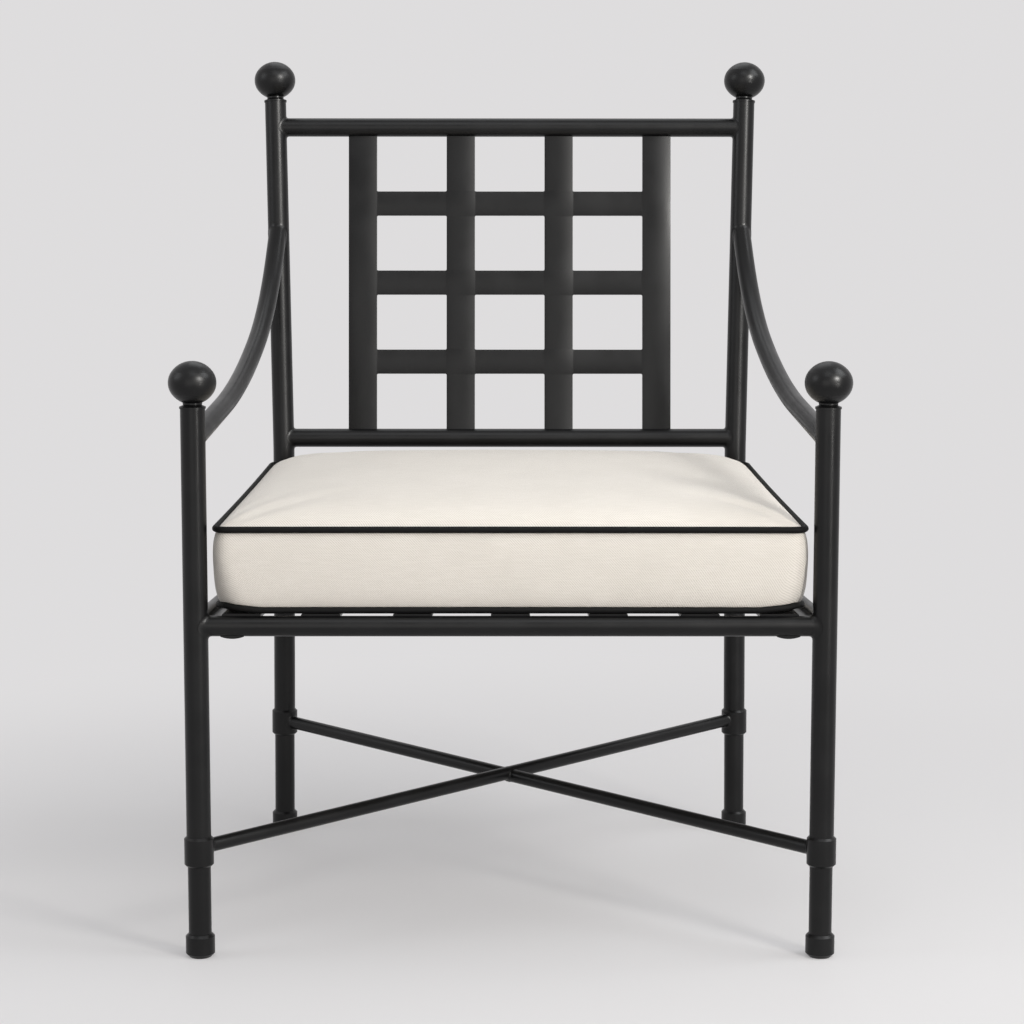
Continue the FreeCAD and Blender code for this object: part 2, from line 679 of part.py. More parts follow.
slat_places = [(-1, "outer_slat_offset"), (-1, "middle_slat_offset"), (-1, "inner_slat_offset"), (1, None)]
slat_places += [(1, "inner_slat_offset"), (1, "middle_slat_offset"), (1, "outer_slat_offset")]
for number, (side, offset) in enumerate(slat_places, start=1):
    slat(number, side, offset)


# Cushion: boxed sides that swell a little, drawn in between the corners, and a crowned top.
# Two V-shaped seams take the piping.

piping_radius = size("piping_diameter") / 2
cushion_foot = slat_foot + size("slat_thickness") + size("cushion_rest_gap")
low_seam = cushion_foot + size("cushion_seam_rise")
top_seam = low_seam + size("cushion_side_height")
cushion_front = front_y - size("cushion_front_overhang")
rear_post_face = rear_axis(1, top_seam).y - size("post_diameter") / 2
cushion_rear = rear_post_face - size("cushion_rear_gap") - piping_radius
inner_post_face = (size("front_post_spacing") - size("post_diameter")) / 2
front_half = inner_post_face - size("cushion_side_gap") - piping_radius
rear_half = size("rear_seat_spacing") / 2 + size("cushion_rear_overlap")
cushion_middle = (cushion_front + cushion_rear) / 2
half_depth = (cushion_rear - cushion_front) / 2


def meeting_point(first, first_radius, second, second_radius, near):
    """Where two circles of one plane cross, nearest to a given point."""
    between = second - first
    apart = between.Length
    along = (first_radius ** 2 - second_radius ** 2 + apart ** 2) / (2 * apart)
    off = math.sqrt(first_radius ** 2 - along ** 2)
    foot = first + between * (along / apart)
    sideways = up.cross(between) * (off / apart)
    return min((foot + sideways, foot - sideways), key=lambda point: (point - near).Length)


def cushion_outline(height, inset):
    """Plan of the cushion at a height: four bowed sides joined by tangent corner arcs."""
    wide = front_half - inset
    narrow = rear_half - inset
    front = cushion_middle - half_depth + inset
    rear = cushion_middle + half_depth - inset
    bow = size("cushion_side_bow")
    corner = size("cushion_corner_radius")
    corners = [Vector(-wide, front, height), Vector(wide, front, height)]
    corners += [Vector(narrow, rear, height), Vector(-narrow, rear, height)]
    sides = []
    for here, there in zip(corners, corners[1:] + corners[:1]):
        length = (there - here).Length
        inward = up.cross(toward(here, there))
        radius = (length ** 2 / 4 + bow ** 2) / (2 * bow)
        sides.append(((here + there) / 2 + inward * (bow - radius), radius))
    joints = []
    for index, point in enumerate(corners):
        (before, before_radius), (after, after_radius) = sides[index - 1], sides[index]
        centre = meeting_point(before, before_radius + corner, after, after_radius + corner, point)
        leaves = before + toward(before, centre) * before_radius
        enters = after + toward(after, centre) * after_radius
        joints.append((leaves, centre + toward(centre, point) * corner, enters))
    edges = []
    for index, (centre, radius) in enumerate(sides):
        start = joints[index][2]
        turn = joints[(index + 1) % 4]
        crest = centre + toward(centre, (start + turn[0]) / 2) * radius
        edges.append(Part.Arc(start, crest, turn[0]).toShape())
        edges.append(Part.Arc(*turn).toShape())
    return Part.Wire(edges)


def bulging(bottom, top, ends_inset, skin, steps):
    """Levels of the side band, which swells between two seams."""
    levels = []
    for step in range(steps + 1):
        share = step / steps
        bulge = 1 - (2 * share - 1) ** 2
        inset = ends_inset - (ends_inset + size("cushion_side_swell") - skin) * bulge
        levels.append((bottom + (top - bottom) * share, inset))
    return levels


def banded(levels):
    return Part.makeLoft([cushion_outline(*level) for level in levels], True, True)


def crowned(levels):
    """Bands through the levels, closed by a panel that rises steeply all round and is almost flat inside."""
    height, inset = levels[-1]
    panel = Part.BezierSurface()
    panel.increase(panel_degree, panel_degree)
    for row in range(panel_degree + 1):
        back_share = row / panel_degree
        y = cushion_middle + (half_depth - inset) * (2 * back_share - 1)
        half_width = front_half + (rear_half - front_half) * back_share - inset
        for column in range(panel_degree + 1):
            x = half_width * (2 * column / panel_degree - 1)
            inside = 0 < row < panel_degree and 0 < column < panel_degree
            panel.setPole(column + 1, row + 1, Vector(x, y, height + (inner_pole_lift if inside else 0)))
    under_panel = panel.toShape().extrude(up * (-2 * crown_rise))
    above_bands = Part.Face(cushion_outline(height, inset)).extrude(up * (2 * crown_rise))
    return banded(levels).fuse(under_panel.common(above_bands)).removeSplitter()


seam_depth = piping_radius + size("piping_gap") + size("seam_play") / 2
seam_half = piping_radius + size("piping_gap") + size("seam_play")
side_foot = low_seam + seam_half
side_top = top_seam - seam_half
crown_foot = top_seam + piping_radius / 2
crown_rise = top_seam + size("cushion_crown") - crown_foot
panel_degree = 4
inner_pole_lift = crown_rise / (1 - 2 / 2 ** panel_degree) ** 2
cover_steps = 4
filling_steps = 2


def cushion_outside():
    """Between its bands lie two V-shaped seams for the piping."""
    ledge = size("seam_ledge")
    slope = seam_depth - ledge
    levels = [(cushion_foot, size("under_inset")), (low_seam - piping_radius / 2, seam_depth)]
    levels += [(side_foot - slope, seam_depth)]
    levels += bulging(side_foot, side_top, ledge, 0, cover_steps)
    levels += [(side_top + slope, seam_depth), (crown_foot, seam_depth)]
    return crowned(levels)


def filling_levels(skin):
    """Bands inside the cover, drawn in by the skin from its outside and clear of the seams."""
    shoulder = piping_radius + size("piping_gap") + skin
    levels = [(cushion_foot + skin, size("under_inset") + skin)]
    levels += bulging(side_foot, side_top, shoulder, skin, filling_steps)
    levels += [(crown_foot - skin, shoulder)]
    return levels


def piping(seam):
    """An eight-sided cord round the cushion, as the difference of two banded solids."""
    angles = [math.radians(45 * step - 67.5) for step in range(4)]
    heights = [seam + piping_radius * math.sin(angle) for angle in angles]
    reaches = [piping_radius * math.cos(angle) for angle in angles]
    outer = banded([(height, -reach) for height, reach in zip(heights, reaches)])
    inner = banded([(height, reach) for height, reach in zip(heights, reaches)])
    return outer.cut(inner)


def form(name, shape):
    piece = doc.addObject("Part::Feature", name)
    piece.Shape = shape
    piece.Placement = Placement()
    return keep(piece, name)


form("cushion_cover", cushion_outside().cut(crowned(filling_levels(size("cover_thickness")))))
form("cushion_foam", banded(filling_levels(size("cover_thickness") + size("foam_gap"))))
form("cushion_piping_top", piping(top_seam))
form("cushion_piping_bottom", piping(low_seam))


# Every object is tested before anything is written

doc.recompute()
for item in doc.Objects:
    if "Invalid" in item.State or "Error" in item.State:
        raise RuntimeError(f"{item.Name} didn't recompute: {item.State}")
for piece in pieces:
    if piece.Shape.isNull() or not piece.Shape.isValid() or not piece.Shape.Solids:
        raise RuntimeError(f"{piece.Label} has no valid solid")
for piece in pieces:
    piece.Shape.exportStep(f"parts/{piece.Label}.step")

whole = Part.makeCompound([piece.Shape for piece in pieces])
box = whole.BoundBox
print(f"{len(pieces)} sub-parts, {len(whole.Solids)} solids")
print(f"X {box.XMin:.2f} to {box.XMax:.2f}, Y {box.YMin:.2f} to {box.YMax:.2f}, Z {box.ZMin:.2f} to {box.ZMax:.2f}")
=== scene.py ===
import json
import math
import bmesh
import bpy
import numpy as np
from mathutils import Matrix, Vector, noise
from mathutils.kdtree import KDTree

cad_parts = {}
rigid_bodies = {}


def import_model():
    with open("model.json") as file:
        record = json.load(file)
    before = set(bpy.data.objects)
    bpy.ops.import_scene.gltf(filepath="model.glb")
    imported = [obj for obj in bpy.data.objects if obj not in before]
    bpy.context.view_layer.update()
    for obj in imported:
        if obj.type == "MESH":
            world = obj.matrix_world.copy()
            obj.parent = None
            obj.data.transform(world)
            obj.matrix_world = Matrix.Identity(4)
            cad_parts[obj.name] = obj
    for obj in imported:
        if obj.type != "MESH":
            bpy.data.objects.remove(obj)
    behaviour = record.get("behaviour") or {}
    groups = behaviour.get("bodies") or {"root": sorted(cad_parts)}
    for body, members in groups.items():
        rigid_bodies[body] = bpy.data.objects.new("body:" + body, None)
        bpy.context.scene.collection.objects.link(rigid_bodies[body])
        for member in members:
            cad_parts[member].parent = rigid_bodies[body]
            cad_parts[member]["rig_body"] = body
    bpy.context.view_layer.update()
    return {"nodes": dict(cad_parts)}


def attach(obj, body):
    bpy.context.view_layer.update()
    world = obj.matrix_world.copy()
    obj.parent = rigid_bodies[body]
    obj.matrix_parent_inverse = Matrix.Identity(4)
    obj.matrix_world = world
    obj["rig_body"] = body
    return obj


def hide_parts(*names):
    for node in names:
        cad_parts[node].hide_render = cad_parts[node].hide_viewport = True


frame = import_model()
scene = bpy.context.scene
print("frame loaded:", len(frame["nodes"]), "nodes")


def placed(name, data):
    made = bpy.data.objects.new(name, data)
    scene.collection.objects.link(made)
    return made


# Camera, at the photograph's height and distance

cameraSizes = {
    "lens": 97.07,  # mm on a 36 mm sensor
    "height": 0.8437,
    "distance": 3.0715,  # in front of the middle of the chair
    "sideways": -0.006,
    "pitchDown": 7.75,  # degrees
    "turn": -0.1546,
    "roll": 0.04,
}


def makeCamera(sizes):
    camera = placed("camera", bpy.data.cameras.new("camera"))
    camera.data.lens = sizes["lens"]
    camera.location = (sizes["sideways"], -sizes["distance"], sizes["height"])
    aim = Matrix.Rotation(math.radians(sizes["turn"]), 3, "Z")
    aim @= Matrix.Rotation(math.radians(90 - sizes["pitchDown"]), 3, "X")
    aim @= Matrix.Rotation(math.radians(sizes["roll"]), 3, "Z")
    camera.rotation_euler = aim.to_euler()
    scene.camera = camera


makeCamera(cameraSizes)


# Node maths: a Wire is a socket that can be added, multiplied and handed to other nodes

class Wire:
    def __init__(self, tree, socket=None):
        self.tree = tree
        self.socket = socket

    def node(self, kind, settings=None, sockets=None):
        made = self.tree.nodes.new(kind)
        for name, value in (settings or {}).items():
            setattr(made, name, value)
        for key, value in (sockets or {}).items():
            if isinstance(key, int):
                socket = made.inputs[key]
            else:
                socket = next(s for s in made.inputs if key in (s.identifier, s.name))
            if isinstance(value, Wire):
                self.tree.links.new(value.socket, socket)
            else:
                socket.default_value = value
        shown = [s for s in made.outputs if s.enabled]
        return Wire(self.tree, shown[0] if shown else None)

    def out(self, name):
        return Wire(self.tree, self.socket.node.outputs[name])

    def maths(self, operation, first, second=None):
        values = [value for value in (first, second) if value is not None]
        isVector = any(isinstance(v, Wire) and v.socket.type in ("VECTOR", "RGBA") for v in values)
        isVector = isVector or any(isinstance(v, (tuple, Vector)) for v in values)
        if not isVector:
            return self.node("ShaderNodeMath", {"operation": operation}, dict(enumerate(values)))
        values = [(v, v, v) if isinstance(v, (int, float)) else v for v in values]
        return self.node("ShaderNodeVectorMath", {"operation": operation}, dict(enumerate(values)))

    def __add__(self, other):
        return self.maths("ADD", self, other)

    def __radd__(self, other):
        return self.maths("ADD", other, self)

    def __sub__(self, other):
        return self.maths("SUBTRACT", self, other)

    def __rsub__(self, other):
        return self.maths("SUBTRACT", other, self)

    def __mul__(self, other):
        return self.maths("MULTIPLY", self, other)

    def __rmul__(self, other):
        return self.maths("MULTIPLY", other, self)

    def __truediv__(self, other):
        return self.maths("DIVIDE", self, other)

    def __rtruediv__(self, other):
        return self.maths("DIVIDE", other, self)

    def of(self, operation, other=None):
        return self.maths(operation, self, other)

    def axis(self, name):
        return self.node("ShaderNodeSeparateXYZ", {}, {"Vector": self}).out(name)

    def ramp(self, low, high, fromLow=0.0, fromHigh=1.0):
        return self.node(
            "ShaderNodeMapRange",
            {"interpolation_type": "SMOOTHSTEP"},
            {"Value": self, "From Min": fromLow, "From Max": fromHigh, "To Min": low, "To Max": high},
        )

    def cloud(self, scale, detail):
        return self.node("ShaderNodeTexNoise", {}, {"Vector": self, "Scale": scale, "Detail": detail})

    def joined(self, other):
        both = self.node("GeometryNodeJoinGeometry")
        for part in (self, other):
            self.tree.links.new(part.socket, both.socket.node.inputs[0])
        return both

    def mixed(self, first, second):
        return self.node(
            "ShaderNodeMix",
            {"data_type": "RGBA"},
            {"Factor_Float": self, "A_Color": first, "B_Color": second},
        ).out("Result")


def newMaterial(name):
    material = bpy.data.materials.new(name)
    material.use_nodes = True
    material.node_tree.nodes.clear()
    return material, Wire(material.node_tree)


def weighed(wires, shares):
    total = wires[0] * shares[0]
    for wire, share in zip(wires[1:], shares[1:]):
        total = total + wire * share
    return total


def toSurface(wire, shader):
    wire.node("ShaderNodeOutputMaterial", {}, {"Surface": shader})


# Frame coating: satin black powder coat

coatingLook = {
    "colour": (0.0036, 0.0036, 0.0038, 1.0),
    "colourWorn": (0.0075, 0.0075, 0.008, 1.0),
    "specular": 0.26,
    "roughness": 0.33,
    "roughnessChange": 0.04,
    "peelSize": 1.6e-3,  # orange peel, crest to crest
    "grainSize": 0.28e-3,
    "grainShare": 0.3,
    "grainRoughness": 0.08,
    "wornGrain": 0.35,  # how far the grain and the patches go towards the worn colour
    "wornPatch": 0.4,
    "patchSize": 0.045,  # where the coat is a little duller or more worn
    "peelHeight": 1.1e-5,
}


def makeCoating(look):
    material, wire = newMaterial("satinPowderCoat")
    place = wire.node("ShaderNodeTexCoord").out("Object")
    peel = place.cloud(1.0 / look["peelSize"], 1.5)
    grain = place.cloud(1.0 / look["grainSize"], 1.0)
    patch = place.cloud(1.0 / look["patchSize"], 2.0)
    height = peel + grain * look["grainShare"]
    bump = wire.node("ShaderNodeBump", {}, {"Height": height, "Distance": look["peelHeight"]})
    middle, change = look["roughness"], look["roughnessChange"]
    rough = patch.ramp(middle - change, middle + change, 0.3, 0.7) + (grain - 0.5) * look["grainRoughness"]
    worn = grain.ramp(0.0, 1.0, 0.55, 0.8) * look["wornGrain"] + patch.ramp(0.0, look["wornPatch"], 0.4, 0.75)
    shader = wire.node("ShaderNodeBsdfPrincipled", {}, {
        "Base Color": worn.mixed(look["colour"], look["colourWorn"]),
        "Roughness": rough,
        "Specular IOR Level": look["specular"],
        "Normal": bump,
    })
    toSurface(wire, shader)
    return material


coating = makeCoating(coatingLook)
for node in frame["nodes"].values():
    if node["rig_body"] == "frame":
        for slot in node.material_slots:
            slot.material = coating
print("frame coated")


# Shared ways of making a piece

def newTree(name, inputs):
    tree = bpy.data.node_groups.new(name, "GeometryNodeTree")
    tree.interface.new_socket("Geometry", in_out="OUTPUT", socket_type="NodeSocketGeometry")
    tree.interface.new_socket("Geometry", in_out="INPUT", socket_type="NodeSocketGeometry")
    for label, kind in inputs.items():
        tree.interface.new_socket(label, in_out="INPUT", socket_type="NodeSocket" + kind)
    return tree, Wire(tree).node("NodeGroupInput")


def endTree(geometry, material):
    real = geometry.node("GeometryNodeRealizeInstances", {}, {"Geometry": geometry})
    made = real.node("GeometryNodeSetMaterial", {}, {"Geometry": real, "Material": material})
    made.node("NodeGroupOutput", {}, {"Geometry": made})


def runTree(name, source, tree, values):
    carrier = placed(name, source)
    modifier = carrier.modifiers.new("shape", "NODES")
    modifier.node_group = tree
    for item in tree.interface.items_tree:
        if item.in_out == "INPUT" and item.name in values:
            modifier[item.identifier] = values[item.name]
    settle(carrier)
    return carrier


def settle(piece):
    shaped = bpy.data.meshes.new_from_object(piece.evaluated_get(bpy.context.evaluated_depsgraph_get()))
    piece.modifiers.clear()
    piece.data = shaped


def tidyFaces(mesh, sharpAngle):
    net = bmesh.new()
    net.from_mesh(mesh)
    bmesh.ops.remove_doubles(net, verts=net.verts, dist=1e-6)
    bmesh.ops.recalc_face_normals(net, faces=net.faces)
    net.to_mesh(mesh)
    net.free()
    mesh.shade_smooth()
    mesh.set_sharp_from_angle(angle=math.radians(sharpAngle))


def pathMesh(name, points, isLoop=False, **attributes):
    count = len(points)
    edges = [(i, i + 1) for i in range(count - 1)] + ([(count - 1, 0)] if isLoop else [])
    mesh = bpy.data.meshes.new(name)
    mesh.from_pydata([tuple(point) for point in points], edges, [])
    for label, values in attributes.items():
        layer = mesh.attributes.new(label, "FLOAT_VECTOR", "POINT")
        layer.data.foreach_set("vector", np.asarray(values, dtype=np.float32).ravel())
    return mesh


def joinPieces(name, pieces, material, body):
    net = bmesh.new()
    for piece in pieces:
        net.from_mesh(piece.data)
    for face in net.faces:
        face.material_index = 0
    mesh = bpy.data.meshes.new(name)
    mesh.materials.append(material)
    net.to_mesh(mesh)
    net.free()
    for piece in pieces:
        bpy.data.objects.remove(piece)
    whole = placed(name, mesh)
    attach(whole, body)


# Fabrics: an off-white slanted weave for the cover and a black ribbed twill for the piping

coverLook = {
    "colour": (0.85, 0.80, 0.735, 1.0),
    # painted shade: the weave's low threads and hollows take this darker colour, and real stains take it too
    "paintedShadeAndStain": (0.65, 0.607, 0.545, 1.0),
    "colourSlub": (0.80, 0.758, 0.70, 1.0),
    "thread": 0.5e-3,  # from thread to thread
    "twill": 2.6e-3,  # from one diagonal line to the next, along the cloth
    "bendScale": 90.0,  # how often the threads bend, per metre, and how far
    "bendReach": 0.0009,
    "slubLength": 0.022,  # thick stretches of a thread
    "slubThinness": 18.0,
    "fuzzSize": 0.35e-3,
    "stainSize": 0.07,
    "stainTone": 0.22,  # how far stains and slubs go towards their colours
    "slubTone": 0.35,
    "weaveDepth": 1.8e-4,
    "heights": (0.45, 0.4, 0.3, 0.2),  # shares of thread, twill line, slub and fuzz
    "tones": (0.25, 0.6, 0.15),  # shares of thread, twill line and slub
    "roughness": 0.86,
    "fuzzRoughness": 0.12,
    "slubRoughness": 0.05,
    "specular": 0.28,
    "sheen": 0.25,
    "sheenRoughness": 0.5,
}

pipingLook = {
    "colour": (0.0018, 0.0018, 0.0018, 1.0),
    # painted highlight: the raised ribs take this lighter black
    "paintedRibHighlight": (0.005, 0.005, 0.005, 1.0),
    "rib": 0.85e-3,  # along the cord
    "ribsAround": 25,
    "ribDepth": 1.2e-4,
    "heights": (0.7, 0.3, 0.25),  # shares of rib, of the lines that cross it, and of fuzz
    "tones": (0.6, 0.4),  # shares of rib and fuzz
    "fuzzScale": 2600.0,
    "roughness": 0.6,
    "fuzzRoughness": 0.1,
    "specular": 0.12,
}


def makeCoverFabric(look):
    material, wire = newMaterial("linenWeave")
    flat = wire.node("ShaderNodeUVMap", {"uv_map": "cloth"})
    place = wire.node("ShaderNodeTexCoord").out("Object")

    def cloud(size, detail, stretch=(1.0, 1.0, 1.0), where=flat):
        return (where * stretch).cloud(1.0 / size, detail)

    drift = flat.cloud(look["bendScale"], 1.0)
    bent = flat + (drift.out("Color") - 0.5) * look["bendReach"]
    along, across = bent.axis("X"), bent.axis("Y")
    turn = math.pi / look["thread"]
    slant = ((along + across) * (2 * math.pi / look["twill"])).of("SINE")
    over = slant.ramp(0.0, 1.0, -0.5, 0.5)  # which thread is on top
    warp, weft = (along * turn).of("SINE").of("ABSOLUTE"), (across * turn).of("SINE").of("ABSOLUTE")
    threads = over * warp + (1 - over) * weft
    warpSlub = cloud(look["slubLength"], 2.0, (look["slubThinness"], 1.0, 1.0))
    weftSlub = cloud(look["slubLength"], 2.0, (1.0, look["slubThinness"], 1.0))
    slub = (over * warpSlub + (1 - over) * weftSlub).ramp(0.0, 1.0, 0.34, 0.66)
    fuzz = cloud(look["fuzzSize"], 2.0)
    stain = cloud(look["stainSize"], 3.0, where=place)
    height = weighed((threads, over, slub, fuzz), look["heights"])
    bump = wire.node("ShaderNodeBump", {}, {"Height": height, "Distance": look["weaveDepth"]})
    # thread crests, twill lines and slubs are painted lighter and the hollows between them darker: painted
    # shade in the weave
    paintedCrestLight = weighed((threads, over, slub), look["tones"]).ramp(0.0, 1.0, 0.05, 0.85)
    ground = paintedCrestLight.mixed(look["paintedShadeAndStain"], look["colour"])
    tone = slub.ramp(0.0, look["slubTone"], 0.45, 1.0).mixed(ground, look["colourSlub"])
    stained = stain.ramp(0.0, look["stainTone"], 0.35, 0.75).mixed(tone, look["paintedShadeAndStain"])
    rough = look["roughness"] + (fuzz - 0.5) * look["fuzzRoughness"] - (slub - 0.5) * look["slubRoughness"]
    shader = wire.node("ShaderNodeBsdfPrincipled", {}, {
        "Base Color": stained,
        "Roughness": rough,
        "Specular IOR Level": look["specular"],
        "Sheen Weight": look["sheen"],
        "Sheen Roughness": look["sheenRoughness"],
        "Normal": bump,
    })
    toSurface(wire, shader)
    return material


def makePipingFabric(look):
    material, wire = newMaterial("blackTwill")
    place = wire.node("ShaderNodeTexCoord").out("Object")
    cordAlong = wire.node("ShaderNodeAttribute", {"attribute_name": "cordAlong"}).out("Fac")
    cordRound = wire.node("ShaderNodeAttribute", {"attribute_name": "cordRound"}).out("Vector")
    along = cordAlong * (2 * math.pi / look["rib"])
    around = cordRound.axis("Y").of("ARCTAN2", cordRound.axis("X")) * look["ribsAround"]
    rib = (along + around).of("SINE").ramp(0.0, 1.0, -1.0, 1.0)
    pick = (along - around).of("SINE").ramp(0.0, 1.0, -1.0, 1.0)
    fuzz = place.cloud(look["fuzzScale"], 2.0)
    height = weighed((rib, pick, fuzz), look["heights"])
    bump = wire.node("ShaderNodeBump", {}, {"Height": height, "Distance": look["ribDepth"]})
    # rib crests are painted lighter, a painted highlight along the ribs, mixed with a random fuzz tone
    paintedCrestLight = weighed((rib, fuzz), look["tones"]).ramp(0.0, 1.0, 0.15, 0.85)
    shader = wire.node("ShaderNodeBsdfPrincipled", {}, {
        "Base Color": paintedCrestLight.mixed(look["colour"], look["paintedRibHighlight"]),
        "Roughness": look["roughness"] + (fuzz - 0.5) * look["fuzzRoughness"],
        "Specular IOR Level": look["specular"],
        "Normal": bump,
    })
    toSurface(wire, shader)
    return material


coverFabric = makeCoverFabric(coverLook)
pipingFabric = makePipingFabric(pipingLook)
print("fabrics woven")


# Cushion cover: top and bottom panels and a boxed side, all on one net of quads that the filling swells

cushionSizes = {
    "frontHalf": 0.3018,  # middle to the piping's centre line
    "rearHalf": 0.2835,
    "front": -0.292,
    "rear": 0.2134,
    "bow": 0.0014,  # how far each side is drawn in between its corners
    "topSeam": 0.4469,
    "seamRise": 0.0076,  # how much higher the top seam is at the back
    "lowSeam": 0.3640,
    "topCorner": 0.0125,
    "lowCorner": 0.032,
    "lowCornerLift": 0.0035,  # how much the low seam rises at the two front corners
    "lowCornerReach": 9.0,  # over how many points of the net
    "lowCornerFade": 1.5,
    "underLift": 0.003,  # how far the bottom panel hangs under its seam
    "crown": 0.0335,
    "edgeRound": 0.012,  # the crown's steep start at the seam, and its slow rise behind it
    "edgeShare": 0.6,
    "slowRise": 0.06,
    "slowShare": 0.4,
    "seamInset": 0.0022,  # the cover is sewn behind the piping's middle
    "swell": 0.0058,  # how far the boxed side stands out
    "columns": 76,
    "rows": 64,
    "netGather": 0.55,  # how much closer the net's lines are near the corners
    "cornerSteps": 8,
    "bandRows": 14,
    "bandGather": 0.35,
    "bandLean": 1.6,  # how soon the boxed side leaves the low seam's outline for the top seam's
    "bandLeanFade": 0.8,
    "seamWidth": 0.003,  # bare of puckers
    "puckerLength": 0.011,
    "puckerDepth": 0.00035,
    "puckerReach": 0.012,
    "waveLength": 0.13,
    "waveDepth": 0.0007,
    "waveStart": 0.035,
    "waveShift": (3.1, 7.7, 0.4),
    "creases": [((0.203, -0.212), (0.28, -0.275), 0.0011, 0.006)],  # start, end, depth, width
    "creaseLip": 0.6,  # height of the soft ridge beside a crease
    "lipPlace": 2,  # from the crease to that ridge, and the ridge's width, in widths of the crease
    "lipWidth": 1.3,
    "underStart": 0.0005,  # how far under the low seam the flat underside starts
}

fillingSizes = {
    "pressure": 4.0,
    "share": 0.35,  # how much of the swelling is kept
    "furthest": 0.024,
    "frames": 20,
    "tension": 40,
    "compression": 20,
    "shear": 12,
    "bending": 4.0,
    "quality": 5,
}


def gathered(share, amount):
    return share - amount * math.sin(2 * math.pi * share) / (2 * math.pi)


def cushionRing(sizes, corner, inset=0.0):
    # One seam seen from above: four bowed sides, joined by round corners
    wide, narrow = sizes["frontHalf"] - inset, sizes["rearHalf"] - inset
    front, rear = sizes["front"] + inset, sizes["rear"] - inset
    corners = [Vector(place) for place in ((-wide, front), (wide, front), (narrow, rear), (-narrow, rear))]
    counts = [sizes["columns"], sizes["rows"]] * 2
    sides, arcs = [], []
    for index in range(4):
        here, there = corners[index], corners[(index + 1) % 4]
        ahead = (there - here).normalized()
        before = (here - corners[index - 1]).normalized()
        turn = -before.angle_signed(ahead)
        trim = corner * math.tan(turn / 2)
        centre = here + ahead * trim + Vector((-ahead.y, ahead.x)) * corner
        start = math.atan2(-before.x, before.y)
        angles = [start + turn * step / sizes["cornerSteps"] for step in range(sizes["cornerSteps"] + 1)]
        arcs.append([centre + Vector((math.cos(angle), math.sin(angle))) * corner for angle in angles])
        sides.append((here, there, ahead))
    ring = []
    half = sizes["cornerSteps"] // 2
    for index, (here, there, ahead) in enumerate(sides):
        start, end = arcs[index][-1], arcs[(index + 1) % 4][0]
        inward = Vector((-ahead.y, ahead.x))
        ring += arcs[index][half:-1]
        for step in range(counts[index]):
            share = gathered(step / counts[index], sizes["netGather"])
            bow = sizes["bow"] * (1 - (2 * share - 1) ** 2)
            ring.append(start.lerp(end, share) + inward * bow)
        ring += arcs[(index + 1) % 4][:half]
    return np.array(ring)


def spanned(ring, columns, rows):
    # A flat net of points that is stretched between the four sides of a ring
    front, right = ring[:columns + 1], ring[columns:columns + rows + 1]
    rear = ring[columns + rows:2 * columns + rows + 1][::-1]
    left = np.vstack([ring[2 * columns + rows:], ring[:1]])[::-1]
    u = np.linspace(0, 1, columns + 1)[None, :, None]
    v = np.linspace(0, 1, rows + 1)[:, None, None]
    flat = (1 - v) * front[None] + v * rear[None] + (1 - u) * left[:, None] + u * right[:, None]
    flat -= (
        (1 - u) * (1 - v) * front[0] + u * (1 - v) * front[-1]
        + (1 - u) * v * rear[0] + u * v * rear[-1]
    )
    return flat


def seamHeights(y, sizes):
    return sizes["topSeam"] + sizes["seamRise"] * (y - sizes["front"]) / (sizes["rear"] - sizes["front"])


def crownShape(flat, sizes):
    rise = 1.0
    for axis in (0, 1):
        steps = np.linalg.norm(np.diff(flat, axis=axis), axis=2)
        along = np.insert(np.cumsum(steps, axis=axis), 0, 0.0, axis=axis)
        inside = np.minimum(along, along.take([-1], axis=axis) - along)
        steep = sizes["edgeShare"] * np.exp(-inside / sizes["edgeRound"])
        slow = sizes["slowShare"] * np.exp(-inside / sizes["slowRise"])
        rise = rise * (1 - steep - slow)
    return rise


